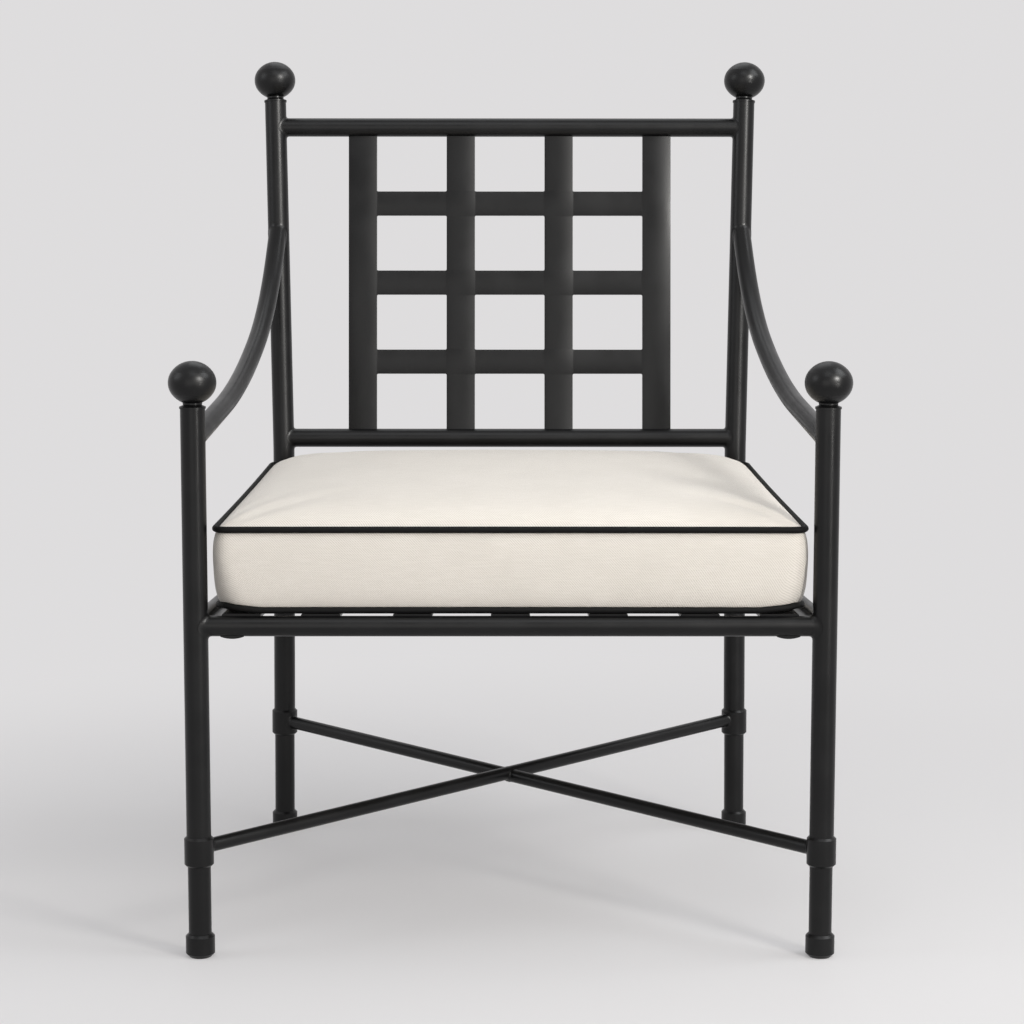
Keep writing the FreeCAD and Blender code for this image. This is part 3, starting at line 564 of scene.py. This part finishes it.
def cushionNet(sizes):
    columns = sizes["columns"] + sizes["cornerSteps"]
    rows = sizes["rows"] + sizes["cornerSteps"]
    topRing = cushionRing(sizes, sizes["topCorner"], sizes["seamInset"])
    lowRing = cushionRing(sizes, sizes["lowCorner"], sizes["seamInset"])
    around = len(topRing)
    points, faces, places = [], [], []

    def panel(ring, lift, isTop):
        flat = spanned(ring, columns, rows)
        height = seamHeights(flat[:, :, 1], sizes) if isTop else sizes["lowSeam"]
        z = height + lift * crownShape(flat, sizes)
        base = len(points)
        points.extend(np.dstack([flat, z]).reshape(-1, 3))
        wide = columns + 1
        for row in range(rows):
            for column in range(columns):
                first = base + row * wide + column
                face = [first, first + 1, first + wide + 1, first + wide]
                faces.append(face if isTop else face[::-1])
                apart = 0 if isTop else 1
                places.append([(points[k][0], points[k][1] + apart) for k in faces[-1]])
        edge = [base + k for k in range(wide)]
        edge += [base + row * wide + columns for row in range(1, rows + 1)]
        edge += [base + rows * wide + k for k in range(columns - 1, -1, -1)]
        edge += [base + row * wide for row in range(rows - 1, 0, -1)]
        return edge

    topEdge = panel(topRing, sizes["crown"], True)
    cornerNear = np.zeros(around)
    for middle in (0, columns):
        away = np.abs((np.arange(around) - middle + around // 2) % around - around // 2)
        near = np.clip(1 - away / sizes["lowCornerReach"], 0, 1) ** sizes["lowCornerFade"]
        cornerNear = np.maximum(cornerNear, near)
    lowHeights = sizes["lowSeam"] + sizes["lowCornerLift"] * cornerNear
    lowEdge = panel(lowRing, -sizes["underLift"], False)
    for index, vertex in enumerate(lowEdge):
        points[vertex] = np.array([*points[vertex][:2], lowHeights[index]])
    seams = sorted(set(topEdge + lowEdge))
    under = range(lowEdge[0], len(points))
    steps = np.linalg.norm(np.roll(topRing, -1, axis=0) - topRing, axis=1)
    start = 2 * columns + rows  # the band is joined at the rear left corner
    rolled = np.roll(steps, -start)
    alongs = np.roll(np.insert(np.cumsum(rolled), 0, 0.0)[:-1], start)
    rings = [lowEdge]
    for row in range(1, sizes["bandRows"]):
        share = gathered(row / sizes["bandRows"], sizes["bandGather"])
        blend = min(1.0, share * sizes["bandLean"]) ** sizes["bandLeanFade"]
        flat = lowRing * (1 - blend) + topRing * blend
        ahead = np.roll(flat, -1, axis=0) - np.roll(flat, 1, axis=0)
        outward = np.stack([ahead[:, 1], -ahead[:, 0]], axis=1)
        outward /= np.linalg.norm(outward, axis=1, keepdims=True)
        flat = flat + outward * sizes["swell"] * (1 - (2 * share - 1) ** 4)
        z = lowHeights + (seamHeights(topRing[:, 1], sizes) - lowHeights) * share
        rings.append(list(range(len(points), len(points) + around)))
        points.extend(np.column_stack([flat, z]))
    rings.append(topEdge)
    for low, high in zip(rings, rings[1:]):
        for k in range(around):
            nextK = (k + 1) % around
            faces.append([low[k], low[nextK], high[nextK], high[k]])
            near, far = alongs[k], alongs[k] + steps[k]
            foot, head = points[low[k]][2] + 2, points[high[k]][2] + 2  # apart from both panels
            places.append([(near, foot), (far, foot), (far, head), (near, head)])
    mesh = bpy.data.meshes.new("seatCushion")
    mesh.from_pydata([tuple(point) for point in points], [], faces)
    layer = mesh.uv_layers.new(name="cloth")
    layer.data.foreach_set("uv", np.array(places, dtype=np.float32).ravel())
    topLine, lowLine = cushionRing(sizes, sizes["topCorner"]), cushionRing(sizes, sizes["lowCorner"])
    topPath = np.column_stack([topLine, seamHeights(topLine[:, 1], sizes)])
    lowPath = np.column_stack([lowLine, lowHeights])
    return mesh, topPath, lowPath, seams, under


def swellCushion(piece, held, sizes):
    # The filling presses the cloth outwards from within, while the seams and the underside are held
    group = piece.vertex_groups.new(name="held")
    group.add(list(held), 1.0, "REPLACE")
    cloth = piece.modifiers.new("filling", "CLOTH")
    settings = cloth.settings
    settings.quality = sizes["quality"]
    settings.use_pressure = True
    settings.uniform_pressure_force = sizes["pressure"]
    settings.vertex_group_mass = "held"
    settings.tension_stiffness = sizes["tension"]
    settings.compression_stiffness = sizes["compression"]
    settings.shear_stiffness = sizes["shear"]
    settings.bending_stiffness = sizes["bending"]
    settings.effector_weights.gravity = 0
    cloth.point_cache.frame_start = 1
    cloth.point_cache.frame_end = sizes["frames"]
    before = readPoints(piece.data)
    for number in range(1, sizes["frames"] + 1):
        scene.frame_set(number)
        piece.evaluated_get(bpy.context.evaluated_depsgraph_get())
    swollen = bpy.data.meshes.new_from_object(piece.evaluated_get(bpy.context.evaluated_depsgraph_get()))
    after = readPoints(swollen)
    piece.modifiers.clear()
    scene.frame_set(1)
    moved = after - before
    lengths = np.linalg.norm(moved, axis=1, keepdims=True)
    moved *= np.minimum(1.0, sizes["furthest"] / np.maximum(lengths, 1e-9))
    print("cushion swelled by up to %.1f mm" % (lengths.max() * 1000))
    return before + moved * sizes["share"]


def readPoints(mesh):
    values = np.empty(len(mesh.vertices) * 3)
    mesh.vertices.foreach_get("co", values)
    return values.reshape(-1, 3)


def writePoints(mesh, points):
    mesh.vertices.foreach_set("co", points.ravel())
    mesh.update()


def makeCushion(sizes, filling):
    mesh, topPath, lowPath, seams, under = cushionNet(sizes)
    cushion = placed("seatCushion", mesh)
    shape = readPoints(mesh)
    shape = swellCushion(cushion, set(seams) | set(under), filling)
    rise = shape[:, 2] - seamHeights(shape[:, 1], sizes)
    above = rise > 0  # the crown is brought back to its height
    shape[above, 2] -= rise[above] * (1 - sizes["crown"] / rise.max())
    writePoints(mesh, shape)
    cushion.vertex_groups.clear()
    return cushion, topPath, lowPath


def finishCushion(cushion, paths, sizes):
    rounding = cushion.modifiers.new("rounding", "SUBSURF")
    rounding.levels = rounding.render_levels = 1
    settle(cushion)
    mesh = cushion.data
    points = readPoints(mesh)
    normals = np.empty(len(points) * 3)
    mesh.vertex_normals.foreach_get("vector", normals)
    normals = normals.reshape(-1, 3)
    onSeams = [
        point
        for path in paths
        for share in (0.0, 0.25, 0.5, 0.75)
        for point in path * (1 - share) + np.roll(path, -1, axis=0) * share
    ]
    tree = KDTree(len(onSeams))
    for index, point in enumerate(onSeams):
        tree.insert(point, index)
    tree.balance()
    away = np.array([tree.find(point)[2] for point in points])
    shift = Vector(sizes["waveShift"])
    fine = np.array([noise.noise(Vector(point) / sizes["puckerLength"]) for point in points])
    broad = np.array([noise.noise(Vector(point) / sizes["waveLength"] + shift) for point in points])
    push = fine * sizes["puckerDepth"] * np.exp(-away / sizes["puckerReach"])
    push *= 1 - np.exp(-away / sizes["seamWidth"])
    push += broad * sizes["waveDepth"] * (1 - np.exp(-away / sizes["waveStart"]))
    for start, end, depth, width in sizes["creases"]:
        start, end = np.array(start), np.array(end)
        run = end - start
        along = np.clip(((points[:, :2] - start) @ run) / (run @ run), 0, 1)
        off = np.linalg.norm(points[:, :2] - start - along[:, None] * run, axis=1)
        fade = np.sin(np.pi * np.clip(along, 0.02, 0.98)) * (points[:, 2] > sizes["topSeam"])
        lipOff = (off - sizes["lipPlace"] * width) / (sizes["lipWidth"] * width)
        lip = sizes["creaseLip"] * np.exp(-lipOff ** 2)
        push -= depth * fade * (np.exp(-(off / width) ** 2) - lip)
    push[points[:, 2] < sizes["lowSeam"] - sizes["underStart"]] = 0  # it lies flat on the slats
    writePoints(mesh, points + normals * push[:, None])
    mesh.materials.append(coverFabric)
    mesh.shade_smooth()


cushion, topPath, lowPath = makeCushion(cushionSizes, fillingSizes)
finishCushion(cushion, (topPath, lowPath), cushionSizes)
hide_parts("cushion_cover", "cushion_foam")
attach(cushion, "cushion")
print("cushion filled:", len(cushion.data.polygons), "faces")


# Piping: a fabric tube laid along each seam, whose two ends turn into the seam at the back

pipingSizes = {
    "radius": 0.0034,
    "step": 0.004,
    "sides": 14,
    "rearReach": 0.004,  # the seam's back is what lies this near its rearmost point
    "endDepth": 0.006,
    "endGap": 0.1,  # between the two ends, in steps of the path
}


def makeTubeTree():
    tree, start = newTree("roundTube", {
        "Radius": "Float", "Sides": "Int", "Step": "Float", "Finish": "Material",
    })
    curve = start.node("GeometryNodeMeshToCurve", {}, {"Mesh": start.out("Geometry")})
    even = curve.node("GeometryNodeResampleCurve", {"mode": "LENGTH"}, {
        "Curve": curve, "Length": start.out("Step"),
    })
    along = even.node("GeometryNodeSplineParameter").out("Length")
    marked = even.node("GeometryNodeStoreNamedAttribute", {"data_type": "FLOAT", "domain": "POINT"}, {
        "Geometry": even, "Name": "cordAlong", "Value": along,
    })
    ring = marked.node("GeometryNodeCurvePrimitiveCircle", {}, {
        "Resolution": start.out("Sides"), "Radius": start.out("Radius"),
    })
    section = ring.node("GeometryNodeStoreNamedAttribute", {"data_type": "FLOAT_VECTOR", "domain": "POINT"}, {
        "Geometry": ring, "Name": "cordRound", "Value": ring.node("GeometryNodeInputPosition"),
    })
    tube = section.node("GeometryNodeCurveToMesh", {}, {
        "Curve": marked, "Profile Curve": section, "Fill Caps": True,
    })
    smooth = tube.node("GeometryNodeSetShadeSmooth", {}, {"Geometry": tube})
    endTree(smooth, start.out("Finish"))
    return tree


def pipingPath(path, sizes):
    # The seam's line, opened in the middle of the back
    rear = [k for k in range(len(path)) if path[k][1] > path[:, 1].max() - sizes["rearReach"]]
    middle = min(rear, key=lambda k: abs(path[k][0]))
    opened = np.vstack([path[middle:], path[:middle + 1]])
    inward = np.array([0, -sizes["endDepth"], 0])
    first = opened[0] + inward + (opened[0] - opened[1]) * sizes["endGap"]
    last = opened[-1] + inward + (opened[-1] - opened[-2]) * sizes["endGap"]
    return np.vstack([first, opened[1:-1], last])


tubeTree = makeTubeTree()
for name, path in (("top", topPath), ("bottom", lowPath)):
    source = pathMesh("pipingPath", pipingPath(path, pipingSizes))
    piping = runTree("piping_" + name, source, tubeTree, {
        "Radius": pipingSizes["radius"],
        "Sides": pipingSizes["sides"],
        "Step": pipingSizes["step"],
        "Finish": pipingFabric,
    })
    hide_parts("cushion_piping_" + name)
    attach(piping, "cushion")
print("piping laid")


# Where the posts stand, how thick the bars are, and how high they meet

frameSizes = {
    "postRadius": 0.0127,
    "frontPost": (0.3215, -0.2915),
    "rearFoot": (0.2755, 0.2385, 0.0),
    "rearBend": (0.2715, 0.2315, 0.470),
    "rearBall": (0.2825, 0.2915, 0.910),
    "seatRailHeight": 0.3477,
    "seatRailRadius": 0.0105,
    "backRailRadius": 0.011,
    "collarRadius": 0.01525,
    "collarHeights": (0.112, 0.136),
    "rodRadius": 0.0074,
    "rodLift": 0.0006,  # rods above the middles of their collars
    "throughLift": 0.0027,  # the long rod above the half rods
}


def frontPoint(side, height):
    x, y = frameSizes["frontPost"]
    return Vector((side * x, y, height))


def rearPoint(side, height):
    bend = frameSizes["rearBend"]
    low, high = (frameSizes["rearFoot"], bend) if height < bend[2] else (bend, frameSizes["rearBall"])
    low, high = (Vector((side * x, y, z)) for x, y, z in (low, high))
    return low.lerp(high, (height - low.z) / (high.z - low.z))


def rearAxis(side, height):
    return (rearPoint(side, height + 0.001) - rearPoint(side, height - 0.001)).normalized()


def postTube(row, side, height):
    if row == "front":
        return frontPoint(side, height), Vector((0, 0, 1)), frameSizes["postRadius"]
    return rearPoint(side, height), rearAxis(side, height), frameSizes["postRadius"]


# Lattice back: one flush plate of flat bars with four uprights and three crossbars

latticeSizes = {
    "columns": 3,  # windows across
    "rows": 4,
    "pitchAcross": 0.1177,
    "barWidth": 0.034,
    "crossWidth": 0.029,
    "thickness": 0.005,
    "insideCorner": 0.0016,
    "cornerSteps": 5,
    "edge": 0.0006,
    "edgeSegments": 2,
    "edgeAngle": 60,
    "sharpAngle": 35,
    "intoRail": 0.0012,  # how much further the outer windows reach
    "endInRail": 0.002,  # where the bars end, from the rail's middle
    "railDiameter": 0.022,
    "lowHeight": 0.484,  # the rails' middles
    "topHeight": 0.854,
}


def makeLatticeTree():
    tree, start = newTree("weldedLattice", {
        "Columns": "Int", "Rows": "Int", "Pitch Across": "Float", "Pitch Up": "Float", "Bar Width": "Float",
        "Cross Width": "Float", "Thickness": "Float", "Corner": "Float", "Corner Steps": "Int",
        "Into Rail": "Float", "Height": "Float", "Finish": "Material",
    })
    columns, rows = start.out("Columns"), start.out("Rows")
    across, upward = start.out("Pitch Across"), start.out("Pitch Up")
    intoRail = start.out("Into Rail")
    spots = start.node("GeometryNodeMeshGrid", {}, {
        "Size X": (columns - 1) * across, "Size Y": (rows - 1) * upward,
        "Vertices X": columns, "Vertices Y": rows,
    })
    place = spots.node("GeometryNodeInputPosition")
    height = place.axis("Y")
    outer = height.of("ABSOLUTE").of("GREATER_THAN", (rows - 1) * upward * 0.5 - 0.001)
    shift = spots.node("ShaderNodeCombineXYZ", {}, {"Y": outer * height.of("SIGN") * intoRail * 0.5})
    shifted = spots.node("GeometryNodeSetPosition", {}, {"Geometry": spots, "Offset": shift})
    clearHeight = upward - start.out("Cross Width")
    window = shifted.node("GeometryNodeCurvePrimitiveQuadrilateral", {}, {
        "Width": across - start.out("Bar Width"), "Height": clearHeight,
    })
    rounded = window.node("GeometryNodeFilletCurve", {"mode": "POLY"}, {
        "Curve": window, "Radius": start.out("Corner"), "Count": start.out("Corner Steps"),
    })
    stretch = shifted.node("ShaderNodeCombineXYZ", {}, {
        "X": 1.0, "Y": 1 + outer * intoRail / clearHeight, "Z": 1.0,
    })
    copies = rounded.node("GeometryNodeInstanceOnPoints", {}, {
        "Points": shifted, "Instance": rounded, "Scale": stretch,
    })
    holes = copies.node("GeometryNodeRealizeInstances", {}, {"Geometry": copies})
    rim = holes.node("GeometryNodeCurvePrimitiveQuadrilateral", {}, {
        "Width": columns * across + start.out("Bar Width"), "Height": start.out("Height"),
    })
    both = rim.joined(holes)
    sheet = both.node("GeometryNodeFillCurve", {"mode": "TRIANGLES"}, {"Curve": both})
    raised = sheet.node("GeometryNodeSetPosition", {}, {
        "Geometry": sheet,
        "Offset": sheet.node("ShaderNodeCombineXYZ", {}, {"Z": start.out("Thickness") * -0.5}),
    })
    thick = raised.node("GeometryNodeExtrudeMesh", {"mode": "FACES"}, {
        "Mesh": raised,
        "Offset": raised.node("ShaderNodeCombineXYZ", {}, {"Z": start.out("Thickness")}),
        "Offset Scale": 1.0,
        "Individual": False,
    })
    under = thick.node("GeometryNodeFlipFaces", {}, {"Mesh": raised})
    closed = thick.joined(under)
    welded = closed.node("GeometryNodeMergeByDistance", {}, {"Geometry": closed, "Distance": 1e-5})
    endTree(welded, start.out("Finish"))
    return tree


def makeLattice(sizes):
    low, top = rearPoint(0, sizes["lowHeight"]), rearPoint(0, sizes["topHeight"])
    rise = (top - low).normalized()
    clear = (top - low).length - sizes["railDiameter"]
    pitchUp = (clear + sizes["crossWidth"]) / sizes["rows"]
    lattice = runTree("backLattice", bpy.data.meshes.new("latticeStart"), makeLatticeTree(), {
        "Columns": sizes["columns"],
        "Rows": sizes["rows"],
        "Pitch Across": sizes["pitchAcross"],
        "Pitch Up": pitchUp,
        "Bar Width": sizes["barWidth"],
        "Cross Width": sizes["crossWidth"],
        "Thickness": sizes["thickness"],
        "Corner": sizes["insideCorner"],
        "Corner Steps": sizes["cornerSteps"],
        "Into Rail": sizes["intoRail"],
        "Height": (top - low).length - 2 * sizes["endInRail"],
        "Finish": coating,
    })
    across = Vector((1, 0, 0))
    turn = Matrix((across, rise, across.cross(rise))).transposed().to_4x4()
    lattice.data.transform(Matrix.Translation((low + top) / 2) @ turn)
    rounding = lattice.modifiers.new("edges", "BEVEL")
    rounding.width = sizes["edge"]
    rounding.segments = sizes["edgeSegments"]
    rounding.limit_method = "ANGLE"
    rounding.angle_limit = math.radians(sizes["edgeAngle"])
    settle(lattice)
    tidyFaces(lattice.data, sizes["sharpAngle"])
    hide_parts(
        *["back_upright_%d" % k for k in range(1, 5)], *["back_crossbar_%d" % k for k in range(1, 4)]
    )
    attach(lattice, "frame")


makeLattice(latticeSizes)
print("lattice welded")


# Arms: a round bar, bent twice in the plane of its two posts, from the middle of one post to the other

armSizes = {
    "radius": 0.0107,
    "rearHeight": 0.7356,
    "rearLength": 0.042,  # straight at the rear post
    "slopes": (6.0, 20.4, 48.05),  # degrees, at the front, between the bends, at the rear
    "bends": (0.91, 0.356),  # the wide one at the front, the tight one at the rear
    "bendSteps": 24,
    "step": 0.006,
    "sides": 40,
}


def armPath(side, sizes):
    rear = rearPoint(side, sizes["rearHeight"])
    level = frontPoint(side, rear.z) - rear
    span = level.length
    level.normalize()
    frontSlope, middleSlope, rearSlope = (math.radians(slope) for slope in sizes["slopes"])
    wideBend, tightBend = sizes["bends"]
    length = sizes["rearLength"]
    places = [(0.0, 0.0), (length * math.cos(rearSlope), length * math.sin(rearSlope))]
    for radius, start, end in ((tightBend, rearSlope, middleSlope), (wideBend, middleSlope, frontSlope)):
        out, down = places[-1]
        for step in range(1, sizes["bendSteps"] + 1):
            slope = start + (end - start) * step / sizes["bendSteps"]
            places.append((
                out + radius * (math.sin(start) - math.sin(slope)),
                down + radius * (math.cos(slope) - math.cos(start)),
            ))
    out, down = places[-1]
    places.append((span, down + (span - out) * math.tan(frontSlope)))
    return [rear + level * out - Vector((0, 0, down)) for out, down in places]


armPaths = {side: armPath(side, armSizes) for side in (-1, 1)}
for side, hand in ((-1, "left"), (1, "right")):
    arm = runTree("armBar_" + hand, pathMesh("armPath", armPaths[side]), tubeTree, {
        "Radius": armSizes["radius"],
        "Sides": armSizes["sides"],
        "Step": armSizes["step"],
        "Finish": coating,
    })
    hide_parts("arm_" + hand)
    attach(arm, "frame")
print("arms bent")


# Weld fillets: where one tube meets another, a smooth bead runs round the joint

weldSizes = {
    "pathPoints": 56,
    "steps": 5,
    "reach": 0.003,  # from the corner out along each bar
    "frontRailReach": 0.0042,
    "rodReach": 0.0025,
    "ripple": 0.16,
    "rippleLength": 0.004,
    "sharpAngle": 50,
    "root": 0.3,  # how far a bead's root lies inside both bars, in reaches
    "tilt": 0.3,  # of a bead whose two legs would lie in one line, and how sharply that sets in
    "tiltPower": 30,
    "clearOfMiddle": 0.0012,  # of a tube, for the path of a bar that passes under it
    "overRod": 0.00005,  # at the crossing the seam lies just outside the long rod
    "inRod": 0.0002,  # and just inside the half rods
}


def makeFilletTree(root):
    tree, start = newTree("weldFillet", {
        "Steps": "Int", "Reach": "Float", "Ripple": "Float", "Ripple Length": "Float", "Finish": "Material",
    })
    path = start.out("Geometry")
    steps = start.out("Steps")
    counted = start.node("GeometryNodeAttributeDomainSize", {"component": "MESH"}, {"Geometry": path})
    count = counted.out("Point Count")
    wide = steps + 3  # the bead's round, the point behind it, and the first point again
    grid = start.node("GeometryNodeMeshGrid", {}, {
        "Size X": 1.0, "Size Y": 1.0, "Vertices X": count + 1, "Vertices Y": wide,
    })
    index = grid.node("GeometryNodeInputIndex")
    line = (index / wide + 1e-4).of("FLOOR")
    column = (index - line * wide).of("MODULO", steps + 2)
    row = line.of("MODULO", count)

    def read(label=None):
        value = grid.node("GeometryNodeInputPosition") if label is None else grid.node(
            "GeometryNodeInputNamedAttribute", {"data_type": "FLOAT_VECTOR"}, {"Name": label}
        )
        return grid.node("GeometryNodeSampleIndex", {"data_type": "FLOAT_VECTOR", "domain": "POINT"}, {
            "Geometry": path, "Value": value, "Index": row,
        })

    foot, along, out = read(), read("alongBranch"), read("alongMain")
    share = column / steps
    cloud = foot.cloud(1 / start.out("Ripple Length"), 1.0)
    reach = start.out("Reach") * (1 + (cloud - 0.5) * start.out("Ripple"))
    firstShare = (1 - share) * (1 - share)
    curve = foot + along * (reach * firstShare) + out * (reach * share * share)
    behind = foot - (along + out) * (reach * root)
    onCurve = share.of("LESS_THAN", 1.001)
    spot = onCurve.node("GeometryNodeSwitch", {"input_type": "VECTOR"}, {
        "Switch": onCurve, "False": behind, "True": curve,
    })
    laid = spot.node("GeometryNodeSetPosition", {}, {"Geometry": grid, "Position": spot})
    endTree(laid, start.out("Finish"))
    return tree


def seamPath(branch, main, sizes):
    # Where a round bar leaves the outside of a tube: points, and the two ways out of the corner
    count = sizes["pathPoints"]
    start, ahead, radius = branch
    tubePoint, tubeAxis, tubeRadius = main
    side = ahead.cross(tubeAxis).normalized()
    other = ahead.cross(side)
    points, radials = [], []
    for step in range(count):
        angle = 2 * math.pi * step / count
        radial = side * math.cos(angle) + other * math.sin(angle)
        foot = start + radial * radius - tubePoint
        flatFoot = foot - tubeAxis * foot.dot(tubeAxis)
        flatAhead = ahead - tubeAxis * ahead.dot(tubeAxis)
        a, b = flatAhead.length_squared, 2 * flatFoot.dot(flatAhead)
        c = flatFoot.length_squared - tubeRadius ** 2
        # Where the bar passes under the tube, the path stays just on its own side of the middle
        root = math.sqrt(max(b * b - 4 * a * c, (sizes["clearOfMiddle"] * a) ** 2))
        reach = (-b + root) / (2 * a)
        points.append(tubePoint + foot + ahead * reach)
        radials.append(radial)
    alongBranch, alongMain = [], []
    for k, (point, radial) in enumerate(zip(points, radials)):
        tangent = (points[(k + 1) % count] - points[k - 1]).normalized()
        first = tangent.cross(radial).normalized()
        alongBranch.append(first if first.dot(ahead) > 0 else -first)
        offset = point - tubePoint
        outward = (offset - tubeAxis * offset.dot(tubeAxis)).normalized()
        second = tangent.cross(outward).normalized()
        second = second if second.dot(radial) > 0 else -second
        inLine = abs(alongBranch[-1].dot(second)) ** sizes["tiltPower"]  # 1 where a bead would be flat
        alongMain.append((second + radial * sizes["tilt"] * inLine).normalized())
    return points, alongBranch, alongMain


def weld(branch, main, reach, tree, sizes):
    points, alongBranch, alongMain = seamPath(branch, main, sizes)
    source = pathMesh("seam", points, True, alongBranch=alongBranch, alongMain=alongMain)
    bead = runTree("bead", source, tree, {
        "Steps": sizes["steps"],
        "Reach": reach,
        "Ripple": sizes["ripple"],
        "Ripple Length": sizes["rippleLength"],
        "Finish": coating,
    })
    tidyFaces(bead.data, sizes["sharpAngle"])
    return bead


def makeWelds(sizes):
    tree = makeFilletTree(sizes["root"])
    beads = []

    def add(start, towards, radius, main, reach=sizes["reach"]):
        beads.append(weld((start, (towards - start).normalized(), radius), main, reach, tree, sizes))

    for side in (-1, 1):
        seat, seatRadius = frameSizes["seatRailHeight"], frameSizes["seatRailRadius"]
        front, rear = frontPoint(side, seat), rearPoint(side, seat)
        frontPost, rearPost = postTube("front", side, seat), postTube("rear", side, seat)
        add(front, frontPoint(-side, seat), seatRadius, frontPost, sizes["frontRailReach"])
        add(front, rear, seatRadius, frontPost)
        add(rear, rearPoint(-side, seat), seatRadius, rearPost)
        add(rear, front, seatRadius, rearPost)
        for height in (latticeSizes["lowHeight"], latticeSizes["topHeight"]):
            tube = postTube("rear", side, height)
            add(rearPoint(side, height), rearPoint(-side, height), frameSizes["backRailRadius"], tube)
        arm, armRadius = armPaths[side], armSizes["radius"]
        add(arm[-1], arm[-2], armRadius, postTube("front", side, arm[-1].z))
        add(arm[0], arm[1], armRadius, postTube("rear", side, arm[0].z))

    frontCollar, rearCollar = frameSizes["collarHeights"]
    collarRadius, rodRadius, reach = frameSizes["collarRadius"], frameSizes["rodRadius"], sizes["rodReach"]
    rodLift, lift = Vector((0, 0, frameSizes["rodLift"])), Vector((0, 0, frameSizes["throughLift"]))
    frontLeft, frontRight = (frontPoint(side, frontCollar) + rodLift for side in (-1, 1))
    rearLeft, rearRight = (rearPoint(side, rearCollar) + rodLift for side in (-1, 1))
    crossing = frontLeft.lerp(rearRight, frontLeft.x / (frontLeft.x - rearRight.x))
    upright, level = Vector((0, 0, 1)), Vector()
    for start, towards, raised, axis in (
        (frontLeft, rearRight, lift, upright),
        (rearRight, frontLeft, lift, rearAxis(1, rearCollar)),
        (frontRight, crossing, level, upright),
        (rearLeft, crossing, level, rearAxis(-1, rearCollar)),
    ):
        add(start + raised, towards + raised, rodRadius, (start, axis, collarRadius), reach)
    through = (crossing + lift, (rearRight - frontLeft).normalized(), rodRadius + sizes["overRod"])
    for end in (frontRight, rearLeft):
        add(crossing, end, rodRadius - sizes["inRod"], through, reach)
    joinPieces("weldFillets", beads, coating, "frame")


makeWelds(weldSizes)
print("welds run")


# Studio: pale floor that runs out into a pale background, and soft lamps

studioSizes = {
    "pale": (0.733, 0.722, 0.728, 1.0),
    "floor": (0.745, 0.735, 0.74, 1.0),
    "floorRadius": 14.0,
    "floorSides": 96,
    "nearGlow": 0.35,  # how much of the floor by the chair is pale for the camera alone
    "fadeStart": 0.4,
    "fadeEnd": 1.4,
    "ambient": 0.55,
}

warm, cool = (1.0, 0.98, 0.94), (0.96, 0.985, 1.0)
lamps = {
    # name: azimuth to the viewer's right, elevation, distance, width, height, watts, colour
    "keyRight": (41.6, 29, 2.8, 0.5, 0.5, 19.5, warm),
    "stripRight": (38, 3.5, 2.8, 0.25, 0.7, 11, warm),
    "frontRight": (28, 20, 2.8, 1.8, 1.8, 13.5, warm),
    "frontFill": (-12, 10, 2.8, 1.4, 1.4, 6, warm),
    "highRight": (78, 47, 2.8, 1.4, 1.4, 27, cool),
    "overhead": (0, 60, 2.8, 1.2, 1.2, 8, (0.95, 0.98, 1.0)),
    "behind": (180, 60, 2.8, 1.5, 1.5, 8, (0.95, 0.98, 1.0)),
    "fillLeft": (-75, 30, 2.8, 1.2, 1.2, 10, cool),
    "ballShine": (38, 30, 5.0, 0.8, 0.8, 170, (1.0, 0.98, 0.95)),
}
shineOnly = "ballShine"  # this lamp shows in gloss alone, so it adds no light or shadow
lampAim = Vector((0, 0, 0.42))


def paleForEyes(wire, ambient):
    path = wire.node("ShaderNodeLightPath")
    seen = path.out("Is Camera Ray").of("MAXIMUM", path.out("Is Glossy Ray"))
    seen = seen.of("MAXIMUM", path.out("Is Transmission Ray"))
    return seen * (1 - ambient) + ambient


def makeStudio(sizes):
    world = bpy.data.worlds.new("studio")
    scene.world = world
    world.use_nodes = True
    world.node_tree.nodes.clear()
    wire = Wire(world.node_tree)
    strength = paleForEyes(wire, sizes["ambient"])
    glow = wire.node("ShaderNodeBackground", {}, {"Color": sizes["pale"], "Strength": strength})
    wire.node("ShaderNodeOutputWorld", {}, {"Surface": glow})

    material, wire = newMaterial("paleFloor")
    place = wire.node("ShaderNodeTexCoord").out("Object")
    reach = place.of("LENGTH").out("Value")
    far = reach.ramp(sizes["nearGlow"], 1.0, sizes["fadeStart"], sizes["fadeEnd"])
    lit = wire.node("ShaderNodeBsdfDiffuse", {}, {"Color": sizes["floor"]})
    strength = paleForEyes(wire, sizes["ambient"])
    glow = wire.node("ShaderNodeEmission", {}, {"Color": sizes["pale"], "Strength": strength})
    toSurface(wire, wire.node("ShaderNodeMixShader", {}, {0: far, 1: lit, 2: glow}))
    mesh = bpy.data.meshes.new("floor")
    net = bmesh.new()
    bmesh.ops.create_circle(
        net, cap_ends=True, segments=sizes["floorSides"], radius=sizes["floorRadius"]
    )
    net.to_mesh(mesh)
    net.free()
    mesh.materials.append(material)
    placed("floor", mesh)


def makeLamps(lamps, aim):
    for name, (azimuth, elevation, distance, width, height, watts, colour) in lamps.items():
        light = bpy.data.lights.new(name, "AREA")
        light.shape = "RECTANGLE"
        light.size = width
        light.size_y = height
        light.energy = watts
        light.color = colour
        lamp = placed(name, light)
        turn, lift = math.radians(azimuth), math.radians(elevation)
        away = Vector((math.sin(turn) * math.cos(lift), -math.cos(turn) * math.cos(lift), math.sin(lift)))
        lamp.location = aim + away * distance
        lamp.rotation_euler = away.to_track_quat("Z", "Y").to_euler()
        lamp.visible_diffuse = name != shineOnly


makeStudio(studioSizes)
makeLamps(lamps, lampAim)
scene.view_settings.view_transform = "Standard"
print("studio lit")
